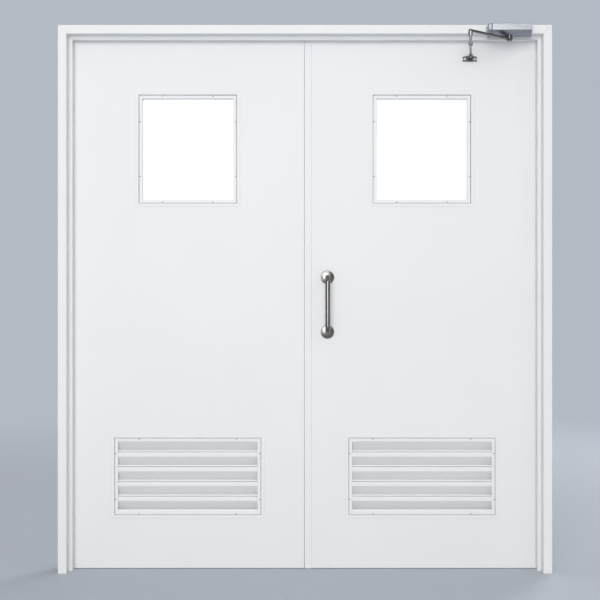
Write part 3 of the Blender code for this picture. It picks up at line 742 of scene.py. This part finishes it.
class NodeShapes:
    """Geometry Nodes trees for the slats and the screws, each built once."""

    screw_sides = 20
    screw_top = 0.62

    def __init__(self) -> None:
        """Build both trees."""
        self.slats = self._slats()
        self.screws = self._screws()

    @staticmethod
    def _new_tree(name: str, inputs: dict[str, str]) -> tuple:
        """Make a tree that takes a mesh and a finish and gives a mesh.

        Args:
            name: Name of the tree.
            inputs: Kinds of its other inputs by name.

        Returns:
            The tree, the values given to it and the node that takes its result.
        """
        inputs = {"Geometry": "Geometry", **inputs, "Finish": "Material"}
        return new_group(name, "GeometryNodeTree", inputs, {"Geometry": "Geometry"})

    @staticmethod
    def _give_out(sink: Node, values: dict[str | int, object], finish: NodeSocket) -> None:
        """Set a shape on points, give it the finish and pass it on.

        Args:
            sink: Node that takes the tree's result.
            values: The points, the shape and its turn.
            finish: The finish given to the tree.
        """
        tree = sink.id_data
        place = add_node(tree, "GeometryNodeInstanceOnPoints", values)
        realize = add_node(tree, "GeometryNodeRealizeInstances", {"Geometry": place["Instances"]})
        values = {"Geometry": realize["Geometry"], "Material": finish}
        feed(sink, {"Geometry": add_node(tree, "GeometryNodeSetMaterial", values)["Geometry"]})

    def _slats(self) -> NodeTree:
        """A folded section pushed out to a slat and repeated downwards.

        Returns:
            A tree that takes the section as one face.
        """
        inputs = {"Length": "Float", "Count": "Int", "Pitch": "Float"}
        tree, given, sink = self._new_tree("louvre_slats", inputs)
        way = add_node(tree, "ShaderNodeCombineXYZ", {"X": given["Length"]})
        values = {"Mesh": given["Geometry"], "Offset": way["Vector"]}
        push = add_node(tree, "GeometryNodeExtrudeMesh", values, mode="FACES")
        flip = add_node(tree, "GeometryNodeFlipFaces", {"Mesh": given["Geometry"]})
        close = add_node(tree, "GeometryNodeJoinGeometry", {"Geometry": [push["Mesh"], flip["Mesh"]]})
        values = {"Geometry": close["Geometry"], "Distance": WELD}
        weld = add_node(tree, "GeometryNodeMergeByDistance", values)
        drop = add_node(tree, "ShaderNodeMath", {0: given["Pitch"], 1: -1.0}, operation="MULTIPLY")
        step = add_node(tree, "ShaderNodeCombineXYZ", {"Z": drop["Value"]})
        values = {"Count": given["Count"], "Offset": step["Vector"]}
        row = add_node(tree, "GeometryNodeMeshLine", values, mode="OFFSET")
        self._give_out(sink, {"Points": row["Mesh"], "Instance": weld["Geometry"]}, given["Finish"])
        return tree

    def _screws(self) -> NodeTree:
        """Raised screw heads with a cross recess, set on points that carry their facing.

        Returns:
            A tree that takes loose points with a facing attribute.
        """
        inputs = {"Head Radius": "Float", "Head Height": "Float", "Recess Width": "Float"}
        tree, given, sink = self._new_tree("cross_screws", inputs)
        values = {0: given["Head Radius"], 1: self.screw_top}
        top = add_node(tree, "ShaderNodeMath", values, operation="MULTIPLY")
        values = {
            "Vertices": self.screw_sides,
            "Radius Top": top["Value"],
            "Radius Bottom": given["Head Radius"],
            "Depth": given["Head Height"],
        }
        head = add_node(tree, "GeometryNodeMeshCone", values)
        rise = add_node(tree, "ShaderNodeCombineXYZ", {"Z": given["Head Height"]})
        bars = []
        for long_way, short_way in ("XY", "YX"):
            values = {long_way: given["Head Radius"], short_way: given["Recess Width"]}
            values["Z"] = given["Head Height"]
            size = add_node(tree, "ShaderNodeCombineXYZ", values)
            bar = add_node(tree, "GeometryNodeMeshCube", {"Size": size["Vector"]})
            values = {"Geometry": bar["Mesh"], "Translation": rise["Vector"]}
            bars.append(add_node(tree, "GeometryNodeTransform", values)["Geometry"])
        values = {"Mesh 1": head["Mesh"], "Mesh 2": bars}
        cuts = add_node(tree, "GeometryNodeMeshBoolean", values, operation="DIFFERENCE")
        values = {"Name": "facing"}
        facing = add_node(tree, "GeometryNodeInputNamedAttribute", values, data_type="FLOAT_VECTOR")
        values = {"Vector": facing["Attribute"]}
        aim = add_node(tree, "FunctionNodeAlignRotationToVector", values, axis="Z")
        values = {"Points": given["Geometry"], "Instance": cuts["Mesh"], "Rotation": aim["Rotation"]}
        self._give_out(sink, values, given["Finish"])
        return tree

    @staticmethod
    def grow(tree: NodeTree, seed: Mesh, values: dict[str, object]) -> Mesh:
        """Run a tree on a mesh.

        Args:
            tree: The Geometry Nodes tree.
            seed: Mesh that the tree starts from.
            values: Values by input name.

        Returns:
            The plain mesh that comes out.
        """
        holder = add_object(tree.name, seed)
        modifier = holder.modifiers.new(tree.name, "NODES")
        modifier.node_group = tree
        entries = tree.interface.items_tree
        sockets = {item.name: item.identifier for item in entries if item.in_out == "INPUT"}
        for label, value in values.items():
            modifier[sockets[label]] = value
        return smoothed(settled(holder), GROWN_ANGLE)


@dataclass(frozen=True)
class ScrewHead:
    """Size and finish of a screw's head."""

    radius: float
    height: float
    finish: Finish
    recess: float = 0.9 * MM


# painted shade: the panel screw heads are dark steel to stand for the shadow in the gap lines where they sit
PANEL_SCREW = ScrewHead(2.2 * MM, 1.3 * MM, DARK_STEEL_AND_PAINTED_SHADE)
HINGE_SCREW = ScrewHead(4.2 * MM, 0.9 * MM, PLATING)
SHOE_SCREW = ScrewHead(4.0 * MM, 1.6 * MM, PLATING)


@dataclass
class Screw:
    """A screw's seat and the way that its head faces."""

    place: Point
    facing: Point = TO_VIEWER


@dataclass
class ScrewRow:
    """All screws of one body and one kind, made by one run of the tree."""

    name: str
    body: Body
    head: ScrewHead
    screws: list[Screw]

    def build(self, shop: Shop) -> None:
        """Place the screws and dress them.

        Args:
            shop: Shared bench.
        """
        seed = bpy.data.meshes.new(self.name)
        seed.from_pydata([screw.place for screw in self.screws], [], [])
        facing = seed.attributes.new("facing", "FLOAT_VECTOR", "POINT")
        for index, screw in enumerate(self.screws):
            facing.data[index].vector = screw.facing
        values = {
            "Head Radius": self.head.radius,
            "Head Height": self.head.height,
            "Recess Width": self.head.recess,
            "Finish": shop.materials[self.head.finish],
        }
        mesh = shop.shapes.grow(shop.shapes.screws, seed, values)
        shop.finish_piece(self.name, mesh, self.head.finish, self.body)


# The door


@dataclass
class DoorFrame:
    """Pressed-steel jambs and head, with the rubber buffers of the leaves."""

    fold: float = 0.6 * MM
    buffer_rim: float = 0.8 * MM

    def build(self, shop: Shop) -> None:
        """Soften the folded sheets and the buffers.

        Args:
            shop: Shared bench.
        """
        for node in ("frame_jamb_left", "frame_jamb_right", "frame_head"):
            shop.soften(node, "sheet", PAINT, Body.FRAME, self.fold)
        for side in Side:
            shop.soften(f"stop_buffer_{side.label}", "pad", RUBBER, Body.FRAME, self.buffer_rim, clamp=True)


@dataclass
class Hinges:
    """Three lift-off hinges a leaf, with countersunk screws in both plates."""

    side: Side
    heights: tuple[float, ...] = (232.5 * MM, 1092.25 * MM, 1952 * MM)
    edge: float = 0.5 * MM
    leaf_edge: float = 962 * MM
    frame_edge: float = 965 * MM
    plate_middle: float = 114 * MM
    spread: float = 36 * MM
    stagger: float = 7 * MM
    sink: float = 0.4 * MM

    def build(self, shop: Shop) -> None:
        """Soften both halves of each hinge.

        Args:
            shop: Shared bench.
        """
        for number in range(1, len(self.heights) + 1):
            for half, body in (("frame_half", Body.FRAME), ("leaf_half", self.side.body)):
                node = f"hinge_{self.side.label}_{number}_{half}"
                shop.soften(node, "plate", PLATING, body, self.edge, clamp=True)

    def screws(self, leaf: bool) -> list[Screw]:
        """Screw seats on the plates.

        Args:
            leaf: True for the leaf's plates, False for the frame's.

        Returns:
            The screws, facing the gap between leaf and jamb.
        """
        sign = self.side.value
        x = sign * ((self.leaf_edge - self.sink) if leaf else (self.frame_edge + self.sink))
        facing = (float(sign if leaf else -sign), 0.0, 0.0)
        rows = []
        for height in self.heights:
            for step in (-1, 0, 1):
                y = self.plate_middle + (self.stagger if step else -self.stagger)
                rows.append(Screw((x, y, height + step * self.spread), facing))
        return rows


@dataclass
class Leaf:
    """A hollow steel leaf: two pans over a card core."""

    side: Side
    fold: float = 0.45 * MM

    def build(self, shop: Shop) -> None:
        """Soften the pans and dress the core.

        Args:
            shop: Shared bench.
        """
        for half in ("front", "rear"):
            node = f"{self.side.label}_leaf_{half}_pan"
            shop.soften(node, "sheet", PAINT, self.side.body, self.fold)
        shop.dress_node(f"{self.side.label}_leaf_core", CARD)


@dataclass
class Panel:
    """A framed opening in a leaf, with screws along its inner ring."""

    side: Side
    centre_z: float
    width: float
    height: float
    screw_face: float
    screw_spread: tuple[float, float]
    centre_x: float = 482.5 * MM
    screw_inset: float = 3.6 * MM
    edge: float = 0.5 * MM
    sheet: float = 1.5 * MM
    flange: float = 14 * MM
    roll: float = 1.3 * MM
    corner: float = 12 * MM
    sharp_corner: float = 0.8 * MM

    def trim(self, shop: Shop, node: str) -> None:
        """Make the front trim: a flange with rolled edges and round corners, turned into the opening.

        Args:
            shop: Shared bench.
            node: CAD node that it stands for.
        """
        low, high = shop.bounds(node)
        back = low.y + self.sheet
        bent = [(0.0, back), (0.0, low.y), (self.flange, low.y), (self.flange, high.y)]
        section = fillet([Vector((inset, y, 0.0)) for inset, y in bent], self.roll)
        hidden = self.flange - self.sheet
        section += [Vector((hidden, high.y, 0.0)), Vector((hidden, back, 0.0))]
        middle = (low + high) / 2
        half = (high - low) / 2
        loops = []
        for inset, y, _ in section:
            radius = max(self.corner - inset, self.sharp_corner)
            centre = Vector((middle.x, y, middle.z))
            loops.append(rounded_loop(centre, half.x - inset, half.z - inset, radius))
        shop.finish_piece(f"{node}_ring", skin(loops, closed=True), PAINT, self.side.body, [node])

    def screws(self) -> list[Screw]:
        """Two screws along each side of the ring.

        Returns:
            The screws, facing the viewer.
        """
        x = self.side.value * self.centre_x
        half_w = self.width / 2 - self.screw_inset
        half_h = self.height / 2 - self.screw_inset
        spread_x, spread_z = self.screw_spread
        rows = []
        for one in (-1, 1):
            for other in (-1, 1):
                for to_side, to_top in ((spread_x, half_h), (half_w, spread_z)):
                    rows.append(Screw((x + one * to_side, self.screw_face, self.centre_z + other * to_top)))
        return rows


@dataclass
class VisionPanel(Panel):
    """Front trim, glazing bead, pane and rear trim. The pane is opaque near-white, painted light that stands
    for the light behind the glass.
    """

    centre_z: float = 1729 * MM
    width: float = 401 * MM
    height: float = 444 * MM
    screw_face: float = 92.4 * MM
    screw_spread: tuple[float, float] = (104 * MM, 113 * MM)
    bead_edge: float = 1.2 * MM
    pane_edge: float = 0.6 * MM

    def build(self, shop: Shop) -> None:
        """Make the trim, and soften the other rings and the pane's ground edge.

        Args:
            shop: Shared bench.
        """
        stem = f"{self.side.label}_vision"
        self.trim(shop, f"{stem}_trim")
        shop.soften(f"{stem}_bead", "ring", PAINT, self.side.body, self.bead_edge)
        shop.soften(f"{stem}_rear_trim", "ring", PAINT, self.side.body, self.edge)
        # the pane's near-white colour is painted light from behind the glass
        shop.soften(f"{stem}_glass", "pane", PANE_PAINTED_BACKLIGHT, self.side.body, self.pane_edge)


@dataclass
class Louvre(Panel):
    """Front trim, casing and sight-proof folded slats."""

    centre_z: float = 379.75 * MM
    width: float = 601 * MM
    height: float = 314.5 * MM
    screw_face: float = 90.4 * MM
    screw_spread: tuple[float, float] = (201 * MM, 94.5 * MM)
    slat_length: float = 597.4 * MM
    slat_sheet: float = 1.2 * MM
    slat_bend: float = 0.6 * MM
    slat_count: int = 4
    opening_top: float = 523.5 * MM
    first_nose: float = 44 * MM
    pitch: float = 60.875 * MM
    nose_y: float = 92.3 * MM
    nose: float = 18 * MM
    step: float = 2.5 * MM
    groove: float = 2 * MM
    groove_depth: float = 12 * MM
    lip: float = 8 * MM
    lip_lean: float = 1.5 * MM
    slope_depth: float = 30 * MM
    slope_drop: float = 42 * MM
    tail: float = 6 * MM

    def build(self, shop: Shop) -> None:
        """Make the trim, soften the casing and grow the slats.

        Args:
            shop: Shared bench.
        """
        stem = f"{self.side.label}_louvre"
        self.trim(shop, f"{stem}_trim")
        shop.soften(f"{stem}_casing", "ring", PAINT, self.side.body, self.edge)
        values = {
            "Length": self.slat_length,
            "Count": self.slat_count,
            "Pitch": self.pitch,
            "Finish": shop.materials[PAINT],
        }
        mesh = shop.shapes.grow(shop.shapes.slats, self._section(), values)
        replaced = [f"{stem}_blade_{number}" for number in range(1, self.slat_count + 1)]
        shop.finish_piece(f"{stem}_slats", mesh, PAINT, self.side.body, replaced)

    def _section(self) -> Mesh:
        """One face with the folded section of the uppermost slat, at its left end.

        Returns:
            A mesh of one face.
        """
        top = self.opening_top - self.first_nose
        lip_y = self.nose_y + self.step
        groove_y = self.nose_y + self.groove_depth
        slope_y = self.nose_y + self.slope_depth
        low = top - self.nose - self.slope_drop
        corners = (
            (lip_y + self.lip_lean, top + self.lip),
            (lip_y, top + self.groove),
            (groove_y, top + self.groove),
            (groove_y, top),
            (self.nose_y, top),
            (self.nose_y, top - self.nose),
            (slope_y, low),
            (slope_y, low - self.tail),
        )
        path = [Vector((y, z, 0.0)) for y, z in corners]
        far = fillet(beside(path, self.slat_sheet), self.slat_bend)
        outline = fillet(path, self.slat_bend) + far[::-1]
        x = self.side.value * self.centre_x - self.slat_length / 2
        bm = bmesh.new()
        face = bm.faces.new([bm.verts.new((x, point.x, point.y)) for point in outline])
        face.normal_update()
        if face.normal.x < 0.0:
            face.normal_flip()
        mesh = bpy.data.meshes.new("slat_section")
        bm.to_mesh(mesh)
        bm.free()
        return mesh


@dataclass
class MeetingStrip:
    """The strip on the right leaf that covers the meeting gap, with rolled long edges."""

    node: str = "meeting_astragal"
    lap_roll: float = 0.8 * MM
    leaf_roll: float = 2.7 * MM
    support: float = 0.3 * MM
    steps: int = 6

    def build(self, shop: Shop) -> None:
        """Make the strip from its section.

        Args:
            shop: Shared bench.
        """
        low, high = shop.bounds(self.node)
        turns = []
        for edge, roll in ((low.x, self.lap_roll), (high.x, -self.leaf_roll)):
            flat_end = edge + roll + math.copysign(self.support, roll)
            turn = [(edge + roll * inset, low.y + abs(roll) * depth) for inset, depth in rolled(self.steps)]
            turns.append([(flat_end, low.y), *turn, (edge, high.y)])
        outline = turns[0][::-1] + turns[1]
        loops = [[Vector((x, y, z)) for x, y in outline] for z in (low.z, high.z)]
        mesh = skin(loops, caps=True)
        shop.finish_piece(f"{self.node}_strip", mesh, PAINT, Body.RIGHT_LEAF, [self.node])


@dataclass
class PullHandle:
    """A round D handle on two crowned roses."""

    face: Face
    x: float = 93 * MM
    heights: tuple[float, float] = (975.5 * MM, 1200.5 * MM)
    front_y: float = 89.5 * MM
    rear_y: float = 133.5 * MM
    bar_radius: float = 10 * MM
    bar_sides: int = 40
    projection: float = 70 * MM
    bend: float = 24 * MM
    bend_steps: int = 14
    rose_radius: float = 27.5 * MM
    rose_thickness: float = 9 * MM
    rose_round: float = 3.0 * MM
    rose_crown: float = 3.0 * MM
    rose_steps: int = 8
    fit: float = 0.3 * MM

    def build(self, shop: Shop) -> None:
        """Make the roses and the bar.

        Args:
            shop: Shared bench.
        """
        stem = f"handle_{self.face.name.lower()}"
        seat = self.front_y if self.face is Face.FRONT else self.rear_y
        out = self.face.value
        for place, height in zip(("lower", "upper"), self.heights):
            node = f"{stem}_{place}_rose"
            mesh = self._rose(Vector((self.x, seat + out * self.fit, height)))
            shop.finish_piece(f"{node}_cap", mesh, SATIN, Body.RIGHT_LEAF, [node])
        grip = seat + out * (self.projection - self.bar_radius)
        foot = seat + out * (self.rose_thickness + 2 * self.fit)
        low, high = self.heights
        corners = [Vector((self.x, y, z)) for y, z in ((foot, low), (grip, low), (grip, high), (foot, high))]
        mesh = tube(fillet(corners, self.bend, self.bend_steps), self.bar_radius, self.bar_sides)
        shop.finish_piece(f"{stem}_bar_grip", mesh, SATIN, Body.RIGHT_LEAF, [f"{stem}_bar"])

    def _rose(self, seat: Vector) -> Mesh:
        """A round cap with a shallow crown and a rolled rim.

        Args:
            seat: Middle of its back face.

        Returns:
            The mesh.
        """
        crown_radius = self.rose_radius - self.rose_round
        rim = self.rose_thickness - self.rose_crown
        profile = []
        for step in range(self.rose_steps):
            share = step / self.rose_steps
            profile.append((crown_radius * share, self.rose_thickness - self.rose_crown * share**2))
        for inset, depth in rolled(self.rose_steps):
            profile.append((self.rose_radius - self.rose_round * inset, rim - self.rose_round * depth))
        profile += [(self.rose_radius, 0.0), (0.0, 0.0)]
        tilt = Matrix.Rotation(-self.face.value * math.pi / 2, 4, "X")
        return lathe(profile, Matrix.Translation(seat) @ tilt)


@dataclass
class Closer:
    """The overhead closer: case, end cap, spindle, arms and shoe, with a painted reflection of the arm on
    the case.
    """

    case_edge: float = 0.6 * MM
    part_edge: float = 0.7 * MM
    # size and place of the painted reflection of the arm on the case's slope
    plug_radius: float = 8 * MM
    reflection_flat: float = 0.82
    reflection_rise: float = 0.8 * MM
    reflection_rim: float = 0.4
    plug_stretch: float = 1.7
    plug_sides: int = 32
    plug_place: Point = (795 * MM, -36 * MM, 2181 * MM)
    plug_facing: Point = (0.0, -1.0, -1.0)
    shoe_x: float = 679 * MM
    shoe_screw_spread: float = 20 * MM
    shoe_screw_z: float = 2099 * MM
    shoe_face: float = 86.0 * MM

    def build(self, shop: Shop) -> None:
        """Soften the solids and add a darker grey oval on the case's slope, a painted reflection of the arm.

        Args:
            shop: Shared bench.
        """
        rows = (
            ("closer_body", "case", CASE, Body.FRAME, self.case_edge),
            ("closer_end_cap", "cap", CAP_GREY, Body.FRAME, self.case_edge),
            ("closer_spindle", "shaft", DARK_STEEL_AND_PAINTED_SHADE, Body.ARM, self.part_edge),
            ("closer_main_arm", "bar", DARK_STEEL_AND_PAINTED_SHADE, Body.ARM, self.part_edge),
            ("closer_forearm_sleeve", "tube", ARM_GREY, Body.FOREARM, self.part_edge),
            ("closer_forearm_rod", "bar", ARM_GREY, Body.FOREARM, self.part_edge),
            ("closer_shoe", "plate", DARK_STEEL_AND_PAINTED_SHADE, Body.RIGHT_LEAF, self.part_edge),
        )
        for row in rows:
            shop.soften(*row, clamp=True)
        # painted reflection: a darker grey oval that stands in for the arm's reflection in the case
        shop.finish_piece("closer_case_plug", self._plug(), ARM_GREY, Body.FRAME)

    def _plug(self) -> Mesh:
        """A shallow darker grey oval in the slope under the case's front: a painted reflection of the arm.

        Returns:
            The mesh.
        """
        profile = [
            (0.0, self.reflection_rise),
            (self.plug_radius * self.reflection_flat, self.reflection_rise),
            (self.plug_radius, self.reflection_rise * self.reflection_rim),
            (self.plug_radius, -self.reflection_rise),
            (0.0, -self.reflection_rise),
        ]
        tilt = Vector(self.plug_facing).to_track_quat("Z", "X").to_matrix().to_4x4()
        stretch = Matrix.Diagonal((self.plug_stretch, 1.0, 1.0, 1.0))
        return lathe(profile, Matrix.Translation(self.plug_place) @ stretch @ tilt, self.plug_sides)

    def screws(self) -> list[Screw]:
        """The two screws of the shoe.

        Returns:
            The screws, facing the viewer.
        """
        places = [self.shoe_x + sign * self.shoe_screw_spread for sign in (-1, 1)]
        return [Screw((x, self.shoe_face, self.shoe_screw_z)) for x in places]


# The studio


@dataclass(frozen=True)
class Lamp:
    """A soft rectangular lamp aimed at a point, with its power in watts."""

    name: str
    place: Point
    target: Point
    size: tuple[float, float]
    power: float

    def build(self) -> None:
        """Hang the lamp."""
        data = bpy.data.lights.new(self.name, "AREA")
        data.shape = "RECTANGLE"
        data.size, data.size_y = self.size
        data.energy = self.power
        lamp = add_object(self.name, data)
        lamp.location = self.place
        lamp.rotation_euler = (Vector(self.target) - Vector(self.place)).to_track_quat("-Z", "Y").to_euler()


LAMPS = (
    Lamp("key_lamp", (-0.9, -9.0, 2.6), (0.0, 0.1, 1.1), (4.6, 5.0), 452.0),
    Lamp("fill_lamp", (6.0, -6.0, 5.0), (0.0, 0.1, 1.1), (3.0, 3.0), 42.0),
    Lamp("rear_lamp", (4.2, 6.5, 4.4), (0.0, 0.2, 1.1), (3.0, 3.0), 230.0),
)


@dataclass
class Studio:
    """Pale floor that fades into a plain backdrop, soft lamps and the camera.

    The dome and the strip are ramps of light, each as two marks and the strengths at them. The dome's marks
    are heights, and the strip's are distances to either side of the way to the front.
    """

    camera_place: Point = (-0.020, -4.8, 1.107)
    lens: float = 71.2
    sensor: float = 36.0
    floor_half: float = 90.0
    floor_tone: Colour = (0.50, 0.54, 0.60)
    floor_roughness: float = 0.9
    backdrop: Colour = (0.455, 0.493, 0.552)
    fade: tuple[float, float] = (2.5, 7.0)
    sky_tint: Colour = (1.0, 0.998, 0.995)
    dome: tuple[float, ...] = (0.02, 0.60, 0.30, 0.48)
    strip: tuple[float, ...] = (0.14, 0.34, 0.34, 0.0)
    strip_end: float = 0.5

    def build(self) -> None:
        """Set up the floor, lamps, world and camera."""
        self._floor()
        for lamp in LAMPS:
            lamp.build()
        self._world()
        self._camera()
        bpy.context.scene.view_settings.view_transform = "Standard"

    def _floor(self) -> None:
        """A wide flat floor whose far part takes the backdrop's tone."""
        half = self.floor_half
        corners = ((-half, -half, 0.0), (half, -half, 0.0), (half, half, 0.0), (-half, half, 0.0))
        bm = bmesh.new()
        bm.faces.new([bm.verts.new(corner) for corner in corners])
        mesh = mesh_from(bm)
        floor = add_object("studio_floor", mesh)
        material = bpy.data.materials.new("studio_paper")
        material.use_nodes = True
        tree = material.node_tree
        paper = tree.nodes["Principled BSDF"]
        feed(paper, {"Base Color": (*self.floor_tone, 1.0), "Roughness": self.floor_roughness})
        place = add_node(tree, "ShaderNodeTexCoord")
        reach = add_node(tree, "ShaderNodeVectorMath", {0: place["Object"]}, operation="LENGTH")
        fade = add_ramp(tree, reach["Value"], self.fade)
        glow = add_node(tree, "ShaderNodeEmission", {"Color": (*self.backdrop, 1.0)})
        values = {"Fac": fade, 1: paper.outputs["BSDF"], 2: glow["Emission"]}
        blend = add_node(tree, "ShaderNodeMixShader", values)
        feed(tree.nodes["Material Output"], {"Surface": blend["Shader"]})
        mesh.materials.append(material)

    def _world(self) -> None:
        """Pale light from above and from a strip in front, behind a plain backdrop."""
        world = bpy.data.worlds.new("studio_air")
        world.use_nodes = True
        tree = world.node_tree
        place = add_node(tree, "ShaderNodeTexCoord")
        split = add_node(tree, "ShaderNodeSeparateXYZ", {"Vector": place["Generated"]})
        dome = add_ramp(tree, split["Z"], self.dome)
        aside = add_node(tree, "ShaderNodeMath", {0: split["X"]}, operation="ABSOLUTE")
        strip = add_ramp(tree, aside["Value"], self.strip)
        ahead = add_node(tree, "ShaderNodeMath", {0: split["Y"], 1: self.strip_end}, operation="LESS_THAN")
        front = add_node(tree, "ShaderNodeMath", {0: strip, 1: ahead["Value"]}, operation="MULTIPLY")
        total = add_node(tree, "ShaderNodeMath", {0: dome, 1: front["Value"]}, operation="ADD")
        sky = tree.nodes["Background"]
        feed(sky, {"Color": (*self.sky_tint, 1.0), "Strength": total["Value"]})
        seen = add_node(tree, "ShaderNodeLightPath")
        wall = add_node(tree, "ShaderNodeBackground", {"Color": (*self.backdrop, 1.0)})
        values = {"Fac": seen["Is Camera Ray"], 1: sky.outputs["Background"], 2: wall["Background"]}
        blend = add_node(tree, "ShaderNodeMixShader", values)
        feed(tree.nodes["World Output"], {"Surface": blend["Shader"]})
        bpy.context.scene.world = world

    def _camera(self) -> None:
        """A level camera straight in front."""
        data = bpy.data.cameras.new("front_camera")
        data.lens = self.lens
        data.sensor_width = self.sensor
        camera = add_object("front_camera", data)
        camera.location = self.camera_place
        camera.rotation_euler = (math.pi / 2, 0.0, 0.0)
        bpy.context.scene.camera = camera


def main() -> None:
    """Load the frame, dress every sub-assembly and set up the studio."""
    logging.basicConfig(level=logging.INFO, format="%(name)s %(message)s")
    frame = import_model()
    effects = Effects()
    materials = {finish: finish.material(effects) for finish in FINISHES}
    shop = Shop(frame["nodes"], materials, NodeShapes())
    DoorFrame().build(shop)
    frame_screws: list[Screw] = []
    for side in Side:
        vision = VisionPanel(side)
        louvre = Louvre(side)
        hinges = Hinges(side)
        panel_screws = vision.screws() + louvre.screws()
        frame_screws += hinges.screws(leaf=False)
        assemblies = (
            Leaf(side),
            vision,
            louvre,
            hinges,
            ScrewRow(f"{side.label}_panel_screws", side.body, PANEL_SCREW, panel_screws),
            ScrewRow(f"{side.label}_hinge_screws", side.body, HINGE_SCREW, hinges.screws(leaf=True)),
        )
        for assembly in assemblies:
            assembly.build(shop)
    ScrewRow("jamb_hinge_screws", Body.FRAME, HINGE_SCREW, frame_screws).build(shop)
    MeetingStrip().build(shop)
    for face in Face:
        PullHandle(face).build(shop)
    closer = Closer()
    closer.build(shop)
    ScrewRow("shoe_screws", Body.RIGHT_LEAF, SHOE_SCREW, closer.screws()).build(shop)
    Studio().build()
    LOG.info("%d pieces", len(shop.pieces))


if __name__ == "__main__":
    main()
